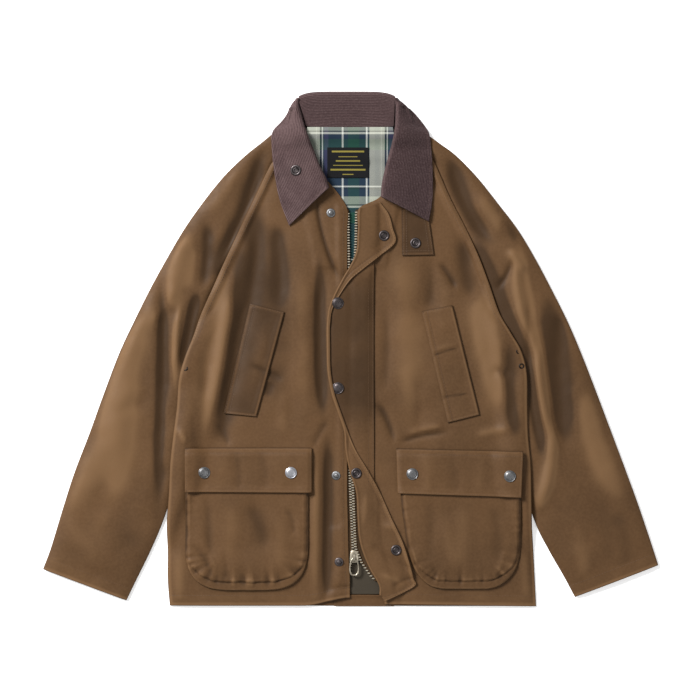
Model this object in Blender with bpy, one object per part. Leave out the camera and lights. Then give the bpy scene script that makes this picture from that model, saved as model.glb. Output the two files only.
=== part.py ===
"""Waxed cotton jacket with raglan sleeves, laid on its back with its collar towards +Y.

Every size below is in millimetres; add_object turns them into metres. X runs across the
jacket, Y along it and Z up from the surface it lies on. Left and right are the wearer's.
"""

import math

import bmesh
import bpy
import numpy as np
from mathutils import Vector
from mathutils.bvhtree import BVHTree

METRES = 0.001

# Driving dimensions
CLOTH = 1.3  # waxed cotton with its lining
LIGHT_CLOTH = 1.0  # lining, label and zip tape
CORDUROY = 2.4  # collar cloth, doubled
SEAM_GAP = 0.5  # between two pieces sewn edge to edge
REST_GAP = 0.5  # between a piece and what it lies on
EDGE_LAYER_GAP = 1.6  # between back and front cloth at the side and raglan seams
MIDDLE_LAYER_GAP = 3.7  # between back and front cloth away from the seams
SLEEVE_LOFT = 1.4  # extra rise in the middle of a sleeve
BODY_OVER_SLEEVE = 5.6  # how far the body's sides rise where they lie on the sleeves
BACK_OVER_FALL = 3.0  # how far the back rises where it lies on the collar's turned fall
SNAP_RADIUS = 8.6
SNAP_RISE = 3.4
EYELET_RADIUS = 6.0
PULL_LENGTH = 27.0
PULL_WIDTH = 13.5
PULL_WIRE = 0.9

# Sleeves, cuff to neck: the folded outer edge and the inner edge, X outward from the centre
SLEEVE_RIGHT_ROWS = (
    (460, -328, 335, -375),
    (448, -296, 322, -348),
    (431, -240, 299, -301),
    (413, -184, 280, -256),
    (390, -124, 262, -200),
    (368, -63, 248, -140),
    (345, -3, 239, -85),
    (322, 46, 238, -35),
    (298, 94, 234, 10),
    (272, 141, 222, 50),
    (247, 183, 205, 88),
    (218, 224, 184, 135),
    (188, 261, 163, 180),
    (157, 291, 142, 224),
    (132, 311, 124, 262),
    (114, 325, 113, 281),
    (98, 329, 97, 292),
)
SLEEVE_LEFT_ROWS = (
    (462, -322, 337, -370),
    (450, -285, 321, -340),
    (431, -229, 298, -300),
    (412, -177, 279, -262),
    (391, -121, 260, -205),
    (368, -60, 247, -140),
    (347, -6, 240, -85),
    (326, 43, 238, -35),
    (302, 91, 232, 12),
    (277, 138, 221, 55),
    (251, 181, 207, 95),
    (222, 219, 190, 140),
    (191, 258, 170, 183),
    (159, 291, 148, 226),
    (135, 309, 132, 262),
    (116, 322, 120, 285),
    (100, 328, 99, 296),
)
FIRST_SEAM_ROW = 9  # the sleeve row from which the body meets the sleeve edge to edge
SLEEVE_STEPS = 2  # rows made for each table row

# Body side edges below the armholes, hem upwards
SIDE_RIGHT_ROWS = (
    (-270, -383), (-273, -345), (-273, -305), (-274, -260), (-271, -215), (-269, -170),
    (-264, -125), (-259, -85), (-256, -45), (-247, -12), (-234, 22),
)
SIDE_LEFT_ROWS = (
    (279, -384), (277, -345), (275, -305), (272, -260), (271, -215), (270, -170),
    (266, -125), (265, -80), (264, -35), (256, -2), (240, 26),
)
# Centre and neck edge of each front: one row for each side row, then one for each raglan row
CENTRE_RIGHT_ROWS = (
    (0, -383), (0, -345), (-2, -305), (-3, -260), (-4, -215), (-4, -170),
    (-4, -125), (-4, -85), (-4, -45), (-4, -12), (-4, 22),
    (-4, 55), (-4, 95), (-4, 140), (-4, 180), (-4, 211), (-23, 241), (-49, 266), (-82, 285),
)
CENTRE_LEFT_ROWS = (
    (52, -381), (46, -348), (24, -309), (13, -262), (12, -215), (11, -170),
    (11, -125), (11, -80), (11, -35), (11, -2), (11, 27),
    (11, 58), (11, 97), (12, 142), (12, 182), (13, 211), (45, 229), (70, 267), (90, 287),
)
BACK_NECK_ROWS = ((-81, 316, 82, 318), (-67, 330, 67, 330))  # back rows above the raglans
HEM_LIFT = 12.0  # how much the right front's hem rises at the zip

# Storm fly, neck to hem: its seam, its fold, and its free edge past the fold
FLY_ROWS = (
    (36, 219, 13, 211, 45, 221),
    (36, 206, 12, 199, 58, 203),
    (36, 192, 12, 186, 64, 182),
    (36, 176, 11, 168, 68, 161),
    (36, 158, 10, 150, 44, 140),
    (36, 139, 3, 131, 20, 121),
    (36, 118, -11, 107, 2, 106),
    (36, 95, -23, 84, -12, 87),
    (36, 70, -32, 61, -26, 62),
    (36, 42, -35, 36, -30, 36),
    (36, 8, -35, 6, -30, 6),
    (36, -30, -34, -31, -29, -31),
    (36, -65, -28, -65, -23, -65),
    (36, -95, -18, -95, -13, -95),
    (36, -122, -9, -122, -3, -122),
    (36, -150, -7, -149, 9, -150),
    (36, -180, -6, -180, 27, -180),
    (36, -213, -5, -213, 45, -213),
    (36, -248, -3, -249, 62, -251),
    (36, -280, 4, -281, 78, -285),
    (40, -304, 15, -305, 88, -315),
    (48, -328, 30, -328, 95, -341),
    (57, -350, 43, -351, 96, -354),
    (62, -371, 44, -366, 52, -376),
)
FLY_TURN_RADIUS = 1.5
FLY_SPRING = (1.0, 1.0, 0.95, 0.9, 0.85)  # how much of the fold's height is kept, fold to free edge

# Collar leaves, shoulder to front: the rolled inner edge and the outer edge
LEAF_RIGHT_ROWS = (
    (-78, 369, -84, 371),
    (-73, 352, -98, 348),
    (-67, 333, -116, 326),
    (-60, 314, -117, 305),
    (-52, 294, -115, 281),
    (-44, 274, -111, 253),
    (-36, 258, -105, 224),
    (-31, 243, -91, 186),
)
LEAF_LEFT_ROWS = (
    (70, 369, 77, 371),
    (68, 352, 98, 353),
    (67, 333, 117, 327),
    (63, 311, 121, 303),
    (57, 289, 123, 277),
    (51, 266, 124, 250),
    (47, 246, 123, 223),
    (46, 229, 118, 192),
)
LEAF_ROLL = 4.6  # radius of the rolled edge
LEAF_STAND = 15.0  # cloth turned under the roll
LEAF_STAND_MARGIN = 6.0  # past the stand, where the leaf still clears it
LEAF_SHORT = 30.0  # a leaf narrower than this falls less

# Collar behind the neck
COLLAR_TOP_Y = 387.0
COLLAR_TOP_HALF = 71.0
COLLAR_TOP_X = -4.5
NECKLINE_Y = 333.5
NECKLINE_HALF = 65.0
FALL_EDGE_Y = 302.0
FALL_EDGE_HALF = 93.0
COLLAR_ROLL = 5.0
NECKLINE_HEIGHT = 5.6  # the stand's lower edge above the fall's

# Bellows pockets from the top down: y, then the X of the left and of the right edge
POCKET_RIGHT_ROWS = (
    (-158, -246, -62), (-195, -246, -62), (-232, -246, -62), (-270, -246, -62),
    (-307, -246, -63), (-332, -240, -69), (-348, -227, -82), (-357, -208, -101), (-360, -185, -124),
)
POCKET_LEFT_ROWS = (
    (-160, 74, 256), (-195, 75, 256), (-232, 77, 255), (-270, 82, 255),
    (-300, 87, 255), (-325, 95, 249), (-343, 107, 237), (-354, 122, 221), (-358, 140, 205),
)
POCKET_RISE = 2.2
FLAP_RIGHT_CORNERS = ((-246, -146), (-57, -146), (-57, -213), (-246, -212))
FLAP_LEFT_CORNERS = ((69, -147), (258, -151), (255, -220), (71, -214))
WELT_RIGHT_CORNERS = ((-150, 70), (-98, 57), (-140, -100), (-189, -95))
WELT_LEFT_CORNERS = ((107, 58), (153, 67), (194, -97), (146, -109))
TAB_CORNERS = ((77, 212), (116, 212), (126, 142), (78, 141))
LABEL_CORNERS = ((-34, 303), (28, 303), (28, 258), (-34, 258))
LINING_ROWS = (
    (-62, 331, 62, 331), (-68, 300, 68, 300), (-68, 262, 68, 262), (-64, 220, 64, 220),
    (-52, 175, 54, 175), (-44, 130, 46, 130),
)
HEM_LINING_CORNERS = ((-24, -272), (66, -272), (66, -366), (-24, -366))
HEM_FACING_CORNERS = ((-24, -367), (66, -367), (66, -382), (-24, -382))

# Zip tapes, neck to hem: y, then the X of the right and of the left tape's toothed edge
TAPE_ROWS = (
    (210, -1.5, 8.5), (165, -1.0, 7.5), (120, 0.0, 5.5), (75, 1.5, 3.5), (0, 1.5, 3.0),
    (-75, 1.0, 2.5), (-150, 1.0, 2.5), (-205, 1.5, 3.0), (-250, 3.5, 5.0), (-296, 5.5, 7.0),
    (-318, 4.0, 12.5), (-334, 2.0, 23.0), (-346, 1.0, 33.0),
)
TAPE_WIDTH = 12.0

# Folds: both ends of a line, how wide it is to each side, and how high (below zero, a trough)
FOLD_ROWS = (
    (-340, -60, -372, -200, 30, 2.2),
    (-282, 100, -300, -110, 22, -1.6),
    (-352, 10, -300, 60, 24, 1.8),
    (-330, -250, -400, -235, 24, 1.5),
    (-190, 190, -240, 110, 24, 2.0),
    (340, -50, 392, -220, 30, 2.2),
    (262, 90, 318, -90, 22, -1.6),
    (300, 60, 352, 0, 24, 1.9),
    (345, -270, 410, -245, 24, 1.5),
    (185, 200, 245, 120, 24, 2.0),
    (-125, 175, -178, -60, 26, -1.4),
    (-205, 20, -212, -110, 24, 2.2),
    (-60, 150, -60, -60, 26, 1.8),
    (72, 150, 84, -90, 26, 2.0),
    (180, 60, 222, -90, 24, 2.0),
    (-40, -160, -36, -330, 18, 1.6),
)

# Snap parts: where, and which way they were pressed
CAP_ROWS = (
    ("flap_cap_right_outer", -217, -183), ("flap_cap_right_inner", -88, -183),
    ("flap_cap_left_inner", 93, -185), ("flap_cap_left_outer", 238, -188),
    ("fly_cap_upper", -18, 70), ("fly_cap_lower", -18, -57),
)
RING_ROWS = (
    ("fly_socket_top", 51, 171), ("fly_socket_middle", 9.5, -184), ("fly_socket_hem", 69, -299),
    ("front_stud_neck", -28.5, 205), ("front_stud_middle", -21, -188), ("front_stud_hem", -16.5, -317),
    ("collar_stud", -81, 268), ("throat_snap", 98, 160),
)
EYELET_ROWS = (("eyelet_right", -246, -27), ("eyelet_left_upper", 252, -2), ("eyelet_left_lower", 256, -24))

SLIDER_X = 6.2
SLIDER_Y = -309.0
SLIDER_HALF_WIDTH = 5.2
SLIDER_HALF_LENGTH = 9.0
SLIDER_HEIGHT = 2.2
BRIDGE_RISE = 3.6
PULL_AXIS_LIFT = 1.35  # pull's wire above the slider's plate
PULL_AXIS_Y = -311.5
BRIDGE_HALF_SPAN = 6.2
BRIDGE_HALF_WIDTH = 1.6
BRIDGE_DEPTH = 1.1
BRIDGE_FORWARD = 1.0  # the arch's middle ahead of the pull's axis
BRIDGE_SINK = 0.6  # how far its feet go into the plate
SLIDER_BEVEL = 0.8
PULL_SQUARENESS = 2.8  # 2 is an ellipse, more is squarer

# How far round a point each kind of piece looks for what it rests on
FRONT_REACH = (13.0, 30.0)
TAPE_REACH = (3.0, 30.0)
LINING_REACH = 6.0
HEM_LINING_REACH = 2.0
HEM_FACING_REACH = 1.0
WELT_REACH = 12.0
POCKET_REACH = 10.0
FLAP_REACH = 17.0
FLY_LOWER_REACH = 9.0
FLY_UPPER_REACH = 7.0
TAB_REACH = 9.0
STAND_REACH = 7.0
LEAF_REACH = 8.0
SLIDER_REACH = 4.0
ROUND_REACH = 0.75  # of a round piece's radius

# Sections of the round metal pieces: radius and height above where they rest
CAP_SECTION = (
    (SNAP_RADIUS * 0.9, 0),
    (SNAP_RADIUS, 1.0),
    (SNAP_RADIUS * 0.8, SNAP_RISE * 0.8),
    (SNAP_RADIUS * 0.4, SNAP_RISE),
)
RING_SECTION = (
    (SNAP_RADIUS * 0.85, 0),
    (SNAP_RADIUS * 0.85, 1.2),
    (SNAP_RADIUS * 0.4, 1.8),
    (SNAP_RADIUS * 0.25, 2.6),
)
EYELET_SECTION = (
    (EYELET_RADIUS * 0.5, 0),
    (EYELET_RADIUS, 0),
    (EYELET_RADIUS, 0.88),
    (EYELET_RADIUS * 0.75, 1.6),
    (EYELET_RADIUS * 0.5, 0.88),
)

MATERIALS = {
    "waxed_cotton": ((0.155, 0.083, 0.040), 0.55, 0.0),
    "corduroy": ((0.105, 0.058, 0.052), 0.85, 0.0),
    "check_lining": ((0.035, 0.045, 0.055), 0.85, 0.0),
    "dark_lining": ((0.045, 0.042, 0.034), 0.85, 0.0),
    "label": ((0.012, 0.012, 0.013), 0.7, 0.0),
    "zip_tape": ((0.030, 0.022, 0.018), 0.8, 0.0),
    "pewter": ((0.33, 0.33, 0.35), 0.35, 1.0),
    "antique_brass": ((0.42, 0.29, 0.14), 0.35, 1.0),
}

supports = []  # search trees of the pieces already laid down


def clear_scene():
    for obj in list(bpy.data.objects):
        bpy.data.objects.remove(obj, do_unlink=True)


def material_named(name):
    found = bpy.data.materials.get(name)
    if found:
        return found
    colour, roughness, metallic = MATERIALS[name]
    made = bpy.data.materials.new(name)
    made.use_nodes = True
    shader = made.node_tree.nodes["Principled BSDF"]
    shader.inputs["Base Color"].default_value = (*colour, 1)
    shader.inputs["Roughness"].default_value = roughness
    shader.inputs["Metallic"].default_value = metallic
    made.diffuse_color = (*colour, 1)
    return made


def add_object(name, points, faces, material, smooth=True):
    """An object whose points are given in millimetres; it also becomes a support."""
    points = np.asarray(points, float)
    mesh = bpy.data.meshes.new(name)
    mesh.from_pydata((points * METRES).tolist(), [], faces)
    if smooth:
        mesh.shade_smooth()
        mesh.set_sharp_from_angle(angle=math.radians(50))
    mesh.materials.append(material_named(material))
    obj = bpy.data.objects.new(name, mesh)
    bpy.context.scene.collection.objects.link(obj)
    supports.append(BVHTree.FromPolygons(points.tolist(), faces))
    return obj


def ease(share):
    """0 below 0, 1 above 1, and a smooth rise between."""
    share = np.clip(share, 0, 1)
    return share * share * (3 - 2 * share)


def through(rows, steps):
    """Rows read from a smooth curve through the given rows, steps of them for each."""
    rows = np.asarray(rows, float)
    before = np.vstack([2 * rows[0] - rows[1], rows])
    after = np.vstack([rows, 2 * rows[-1] - rows[-2]])
    slopes = (after[1:] - before[:-1]) / 2
    share = (np.arange(steps) / steps)[None, :, None]
    start, end = rows[:-1, None], rows[1:, None]
    start_slope, end_slope = slopes[:-1, None], slopes[1:, None]
    curve = (
        (2 * share**3 - 3 * share**2 + 1) * start
        + (share**3 - 2 * share**2 + share) * start_slope
        + (3 * share**2 - 2 * share**3) * end
        + (share**3 - share**2) * end_slope
    )
    return np.vstack([curve.reshape(-1, rows.shape[1]), rows[-1:]])


def ruled(first_edge, second_edge, columns):
    """A grid of plan points on straight lines from one edge to the other."""
    share = np.linspace(0, 1, columns)[None, :, None]
    return first_edge[:, None] * (1 - share) + second_edge[:, None] * share


def four_corners(corners, rows, columns):
    """A grid between four corners given round the outline, the first two along its top."""
    corners = np.asarray(corners, float)
    down = np.linspace(0, 1, rows)[:, None]
    first = corners[0] * (1 - down) + corners[3] * down
    second = corners[1] * (1 - down) + corners[2] * down
    return ruled(first, second, columns)


def fold_height(x, y):
    """Sum of the folds: each is a rounded ridge about its line, fading towards both ends."""
    total = np.zeros(np.shape(x))
    for x0, y0, x1, y1, width, height in FOLD_ROWS:
        along = np.array([x1 - x0, y1 - y0], float)
        length = np.hypot(*along)
        along /= length
        position = (x - x0) * along[0] + (y - y0) * along[1]
        aside = (y - y0) * along[0] - (x - x0) * along[1]
        fade = ease(position / (0.35 * length) + 0.5) * ease((length - position) / (0.35 * length) + 0.5)
        total += height * np.exp(-((aside / width) ** 2)) * fade
    return total


def sleeve_edge_x(y, rows):
    rows = np.asarray(rows, float)
    return np.interp(y, rows[:, 3], rows[:, 2])


def body_lift(x, y):
    """How far the back's underside is off the surface: 0 except over a sleeve or the fall."""
    inner = np.where(x < 0, sleeve_edge_x(y, SLEEVE_RIGHT_ROWS), sleeve_edge_x(y, SLEEVE_LEFT_ROWS))
    toward_sleeve = ease((np.abs(x) - inner + 50) / 35)
    below_armhole = ease((118 - y) / 50)
    above_cuff = ease((y + 345) / 60)
    over_fall = ease((y - 220) / 65)
    return BODY_OVER_SLEEVE * toward_sleeve * below_armhole * above_cuff + BACK_OVER_FALL * over_fall


def front_underside(x, y, from_side):
    """Height of a front's underside, given how far each point is from its side edge."""
    layer_gap = EDGE_LAYER_GAP + (MIDDLE_LAYER_GAP - EDGE_LAYER_GAP) * ease(from_side / 45)
    pocket_hold = ease((y + 105) / 40)
    soft = fold_height(x, y) * ease(from_side / 30) * (0.35 + 0.65 * pocket_hold)
    return body_lift(x, y) + CLOTH + layer_gap + np.maximum(soft, -0.9)


def highest_below(x, y, reach, reach_along=None):
    """The top of what lies within reach of a plan point; the bare surface counts as 0."""
    top = 0.0
    shares = (-1.0, -0.5, 0.0, 0.5, 1.0)
    for across in (share * reach for share in shares):
        for along in (share * (reach_along or reach) for share in shares):
            for tree in supports:
                hit = tree.ray_cast(Vector((x + across, y + along, 200.0)), Vector((0, 0, -1)))
                if hit[0] is not None:
                    top = max(top, hit[0].z)
    return top


def rest_on(plan, thickness, reach, reach_along=None):
    """The plan grid with middle heights that clear everything laid down so far."""
    flat = plan.reshape(-1, 2)
    heights = [highest_below(x, y, reach, reach_along) + REST_GAP + thickness / 2 for x, y in flat]
    return np.dstack([plan, np.array(heights).reshape(plan.shape[:2])])


def grid_normals(grid):
    """Unit normals of a grid of points, from the differences along its rows and columns."""
    across = np.gradient(grid, axis=1)
    along = np.gradient(grid, axis=0)
    normals = np.cross(across, along)
    return normals / np.linalg.norm(normals, axis=2, keepdims=True)


def grid_faces(rows, columns, offset, flip):
    index = offset + np.arange(rows * columns).reshape(rows, columns)
    quads = np.dstack([index[:-1, :-1], index[:-1, 1:], index[1:, 1:], index[1:, :-1]]).reshape(-1, 4)
    return (quads[:, ::-1] if flip else quads).tolist()


def wall(name, grid, thickness, material):
    """A closed wall of the given thickness about a grid of middle points."""
    rows, columns = grid.shape[:2]
    offset = grid_normals(grid) * thickness / 2
    points = np.vstack([(grid + offset).reshape(-1, 3), (grid - offset).reshape(-1, 3)])
    count = rows * columns
    faces = grid_faces(rows, columns, 0, False) + grid_faces(rows, columns, count, True)
    index = np.arange(count).reshape(rows, columns)
    rim = np.concatenate([index[0, :-1], index[:-1, -1], index[-1, :0:-1], index[:0:-1, 0]])
    following = np.roll(rim, -1)
    faces += [[a, a + count, b + count, b] for a, b in zip(rim.tolist(), following.tolist())]
    obj = add_object(name, points, faces, material)
    face_outward(obj)
    return obj


def face_outward(obj):
    shape = bmesh.new()
    shape.from_mesh(obj.data)
    bmesh.ops.recalc_face_normals(shape, faces=shape.faces)
    shape.to_mesh(obj.data)
    shape.free()


def sleeve(name, rows, side):
    """One sheet: its upper layer runs to the outer edge, turns round it and comes back below."""
    rows = through(rows, SLEEVE_STEPS)
    outer = rows[:, 0:2] * (side, 1)
    inner = rows[:, 2:4] * (side, 1)
    outward = outer - inner
    width = np.linalg.norm(outward, axis=1, keepdims=True)
    outward = outward / width
    turn = (EDGE_LAYER_GAP + CLOTH) / 2
    low = CLOTH / 2
    centre = outer - outward * (turn + CLOTH / 2)
    upper = ruled(inner, centre, 7)
    share = np.linspace(0, 1, 7)[None, :]
    loft = SLEEVE_LOFT * np.sin(np.pi * share) * ease(width / 110)
    soft = fold_height(upper[..., 0], upper[..., 1]) * np.sin(np.pi * share)
    upper_z = low + 2 * turn + loft + np.maximum(soft, -0.7 - loft)
    angles = np.radians([45, 0, -45])
    round_plan = centre[:, None] + outward[:, None] * (turn * np.cos(angles))[None, :, None]
    round_z = np.tile(low + turn + turn * np.sin(angles), (len(rows), 1))
    lower = ruled(centre, inner, 4)
    lower_z = np.full(lower.shape[:2], low)
    plan = np.concatenate([upper, round_plan, lower], axis=1)
    heights = np.concatenate([upper_z, round_z, lower_z], axis=1)
    return wall(name, np.dstack([plan, heights]), CLOTH, "waxed_cotton")


def raglan_edge(rows, side):
    """Plan points of a sleeve's inner edge where the body meets it, moved in by the seam gap."""
    finer = through(rows, SLEEVE_STEPS)[FIRST_SEAM_ROW * SLEEVE_STEPS :]
    return np.column_stack([side * (finer[:, 2] - SEAM_GAP), finer[:, 3] - SEAM_GAP / 2])


def body_edge(side_rows, sleeve_rows, side):
    """A body panel's outer edge from hem to neck: the side seam, then the raglan seam."""
    below = through(side_rows, 1)
    return np.vstack([below, raglan_edge(sleeve_rows, side)])


def back_panel():
    right = body_edge(SIDE_RIGHT_ROWS, SLEEVE_RIGHT_ROWS, -1)
    left = body_edge(SIDE_LEFT_ROWS, SLEEVE_LEFT_ROWS, 1)
    neck = np.asarray(BACK_NECK_ROWS, float)
    right = np.vstack([right, neck[:, 0:2]])
    left = np.vstack([left, neck[:, 2:4]])
    plan = ruled(right, left, 13)
    heights = body_lift(plan[..., 0], plan[..., 1]) + CLOTH / 2
    return wall("back_panel", np.dstack([plan, heights]), CLOTH, "waxed_cotton")


def front(name, side_rows, sleeve_rows, centre_rows, side):
    outer = body_edge(side_rows, sleeve_rows, side)
    below_count = len(side_rows)
    centre = np.vstack([
        np.asarray(centre_rows[:below_count], float),
        through(centre_rows[below_count:], SLEEVE_STEPS),
    ])
    plan = ruled(outer, centre, 11)
    if side < 0:
        near_zip = ease((plan[..., 0] + 70) / 70)
        near_hem = ease((-335 - plan[..., 1]) / 48)
        plan[..., 1] += HEM_LIFT * near_zip * near_hem
    from_side = np.linalg.norm(plan - plan[:, :1], axis=2)
    heights = front_underside(plan[..., 0], plan[..., 1], from_side) + CLOTH / 2
    middle = plan[:, 3:]
    heights[:, 3:] = np.maximum(heights[:, 3:], rest_on(middle, CLOTH, *FRONT_REACH)[..., 2])
    return wall(name, np.dstack([plan, heights]), CLOTH, "waxed_cotton")


def collar_back():
    """The fall lies on the surface, turns round the top edge and comes back as the stand."""
    share = np.linspace(-1, 1, 8)[:, None]
    low = CORDUROY / 2
    top_x = COLLAR_TOP_X + COLLAR_TOP_HALF * share
    turn_y = COLLAR_TOP_Y - COLLAR_ROLL - CORDUROY / 2
    fall = np.linspace(0, 1, 4)[None, :]
    fall_x = FALL_EDGE_HALF * share * (1 - fall) + top_x * fall
    fall_y = FALL_EDGE_Y + (turn_y - FALL_EDGE_Y) * fall + 0 * share
    fall_z = np.full(fall_x.shape, low)
    angles = np.radians([-45, 0, 45])[None, :]
    round_x = top_x + 0 * angles
    round_y = turn_y + COLLAR_ROLL * np.cos(angles) + 0 * share
    round_z = low + COLLAR_ROLL + COLLAR_ROLL * np.sin(angles) + 0 * share
    stand = np.linspace(0, 1, 4)[None, :]
    stand_x = top_x * (1 - stand) + NECKLINE_HALF * share * stand
    stand_y = turn_y + (NECKLINE_Y - turn_y) * stand + 0 * share
    stand_z = low + 2 * COLLAR_ROLL - (2 * COLLAR_ROLL - NECKLINE_HEIGHT) * ease(stand) + 0 * share
    grid = np.dstack([
        np.concatenate([fall_x, round_x, stand_x], axis=1),
        np.concatenate([fall_y, round_y, stand_y], axis=1),
        np.concatenate([fall_z, round_z, stand_z], axis=1),
    ])
    return wall("collar_back", grid, CORDUROY, "corduroy")


def collar_leaf(name, rows):
    """The leaf rises from its outer edge to a roll, which turns down into the hidden stand."""
    rows = through(rows, 2)
    inner, outer = rows[:, 0:2], rows[:, 2:4]
    outward = (outer - inner) / np.linalg.norm(outer - inner, axis=1, keepdims=True)
    roll_centre = inner + outward * (LEAF_ROLL + CORDUROY / 2)
    reach = np.linalg.norm(outer - roll_centre, axis=1, keepdims=True)
    stand_end = roll_centre + outward * np.minimum(LEAF_STAND, reach * 0.6)
    leg = rest_on(ruled(stand_end, roll_centre, 3), CORDUROY, STAND_REACH)
    roll_base = leg[:, 2:3, 2].copy()
    leg[..., 2] = np.maximum(leg[..., 2], roll_base)
    angles = np.radians([-50, 0, 50])
    round_plan = roll_centre[:, None] - outward[:, None] * (LEAF_ROLL * np.cos(angles))[None, :, None]
    round_z = roll_base + LEAF_ROLL + LEAF_ROLL * np.sin(angles)[None, :]
    upper = rest_on(ruled(roll_centre, outer, 7), CORDUROY, LEAF_REACH)
    share = np.linspace(0, 1, 7)[None, :]
    roll_top = roll_base + 2 * LEAF_ROLL
    droop = roll_top - (roll_top - upper[:, -1:, 2]) * ease(share) * ease(reach / LEAF_SHORT)
    upper[..., 2] = np.maximum(droop, upper[..., 2])
    over_stand = leg[:, :, 2].max(axis=1)[:, None] + CORDUROY + REST_GAP
    above_stand = share * reach < LEAF_STAND + LEAF_STAND_MARGIN
    upper[..., 2] = np.where(above_stand, np.maximum(upper[..., 2], over_stand), upper[..., 2])
    rounded = np.dstack([round_plan, round_z])
    grid = np.concatenate([leg, rounded, upper], axis=1)
    return wall(name, grid, CORDUROY, "corduroy")


def storm_fly():
    """A strip from its seam to the fold, round it, and back over itself to the free edge."""
    rows = np.asarray(FLY_ROWS, float)
    seam, fold, free = rows[:, 0:2], rows[:, 2:4], rows[:, 4:6]
    toward = (fold - seam) / np.linalg.norm(fold - seam, axis=1, keepdims=True)
    turn = fold - toward * (FLY_TURN_RADIUS + CLOTH / 2)
    lower = rest_on(ruled(seam, turn, 5), CLOTH, FLY_LOWER_REACH)
    count = len(supports)
    wall("fly_guide", lower, CLOTH, "waxed_cotton")
    bpy.data.objects.remove(bpy.data.objects["fly_guide"], do_unlink=True)
    upper = rest_on(ruled(turn, free, 5), CLOTH, FLY_UPPER_REACH)
    del supports[count:]
    base = lower[:, -1:, 2]
    upper[..., 2] = np.maximum(upper[..., 2], base + 2 * FLY_TURN_RADIUS * np.array([FLY_SPRING]))
    top = np.maximum(upper[:, :1, 2], base + 2 * FLY_TURN_RADIUS)
    upper[:, :1, 2] = top
    angles = np.radians([-45, 0, 45])
    round_plan = turn[:, None] + toward[:, None] * (FLY_TURN_RADIUS * np.cos(angles))[None, :, None]
    round_z = (base + top) / 2 + (top - base) / 2 * np.sin(angles)[None, :]
    grid = np.concatenate([lower, np.dstack([round_plan, round_z]), upper], axis=1)
    return wall("storm_fly", grid, CLOTH, "waxed_cotton")


def pocket_bag(name, rows):
    """A bag whose middle stands off the front and whose edges come down to it."""
    rows = np.asarray(rows, float)
    first = np.column_stack([rows[:, 1], rows[:, 0]])
    second = np.column_stack([rows[:, 2], rows[:, 0]])
    plan = ruled(first, second, 10)
    bag = rest_on(plan, CLOTH, POCKET_REACH)
    bag[1:-1, 1:-1, 2] += POCKET_RISE
    bag[0, 1:-1, 2] += POCKET_RISE
    return wall(name, bag, CLOTH, "waxed_cotton")


def patch(name, corners, rows, columns, thickness, material, reach):
    return wall(name, rest_on(four_corners(corners, rows, columns), thickness, reach), thickness, material)


def zip_tape(name, edge_column, side):
    """A strip beside its toothed edge, between the back and the front cloth."""
    rows = np.asarray(TAPE_ROWS, float)
    edge = np.column_stack([rows[:, edge_column], rows[:, 0]])
    outer = edge + (side * TAPE_WIDTH, 0)
    plan = ruled(outer, edge, 3) if side < 0 else ruled(edge, outer, 3)
    return wall(name, rest_on(plan, LIGHT_CLOTH, *TAPE_REACH), LIGHT_CLOTH, "zip_tape")


def turned(name, x, y, profile, material, segments=12):
    """A round piece: each profile row is a radius and a height above where it rests."""
    radius = max(row[0] for row in profile)
    ground = highest_below(x, y, radius * ROUND_REACH) + REST_GAP
    turns = np.arange(segments) * 2 * math.pi / segments
    points = []
    for ring_radius, height in profile:
        for angle in turns:
            across, along = ring_radius * math.cos(angle), ring_radius * math.sin(angle)
            points.append((x + across, y + along, ground + height))
    last = (len(profile) - 1) * segments
    faces = [list(range(segments))[::-1], [last + i for i in range(segments)]]
    for low in range(0, last, segments):
        high = low + segments
        for i in range(segments):
            j = (i + 1) % segments
            faces.append([low + i, low + j, high + j, high + i])
    obj = add_object(name, points, faces, material)
    face_outward(obj)
    return obj


def hollow_ring(name, x, y, section, material, segments=14):
    """A washer with a round hole; the section is a closed outline of radii and heights."""
    radius = max(row[0] for row in section)
    ground = highest_below(x, y, radius * ROUND_REACH) + REST_GAP
    points = []
    faces = []
    for i in range(segments):
        angle = i * 2 * math.pi / segments
        points += [(x + r * math.cos(angle), y + r * math.sin(angle), ground + z) for r, z in section]
    size = len(section)
    for i in range(segments):
        j = (i + 1) % segments
        for k in range(size):
            m = (k + 1) % size
            faces.append([i * size + k, i * size + m, j * size + m, j * size + k])
    obj = add_object(name, points, faces, material)
    face_outward(obj)
    return obj


def swept_loop(path, radius, sides):
    """Points and faces of a round wire about a closed path that lies level."""
    count = len(path)
    tangent = np.roll(path, -1, axis=0) - np.roll(path, 1, axis=0)
    tangent /= np.linalg.norm(tangent, axis=1, keepdims=True)
    up = np.array([0.0, 0.0, 1.0])
    aside = np.cross(tangent, up)
    points = []
    for i in range(count):
        for k in range(sides):
            angle = 2 * math.pi * k / sides
            points.append(path[i] + radius * (math.cos(angle) * aside[i] + math.sin(angle) * up))
    faces = []
    for i in range(count):
        j = (i + 1) % count
        for k in range(sides):
            m = (k + 1) % sides
            faces.append([i * sides + k, i * sides + m, j * sides + m, j * sides + k])
    return np.array(points), faces


def block(name, low, high, material, bevel):
    shape = bmesh.new()
    bmesh.ops.create_cube(shape, size=1)
    for vertex in shape.verts:
        vertex.co = [low[i] + (high[i] - low[i]) * (vertex.co[i] + 0.5) for i in range(3)]
        vertex.co *= METRES
    offset = bevel * METRES
    bmesh.ops.bevel(shape, geom=shape.edges, offset=offset, segments=2, profile=0.5, affect="EDGES")
    mesh = bpy.data.meshes.new(name)
    shape.to_mesh(mesh)
    shape.free()
    mesh.materials.append(material_named(material))
    obj = bpy.data.objects.new(name, mesh)
    bpy.context.scene.collection.objects.link(obj)
    return obj


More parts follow.
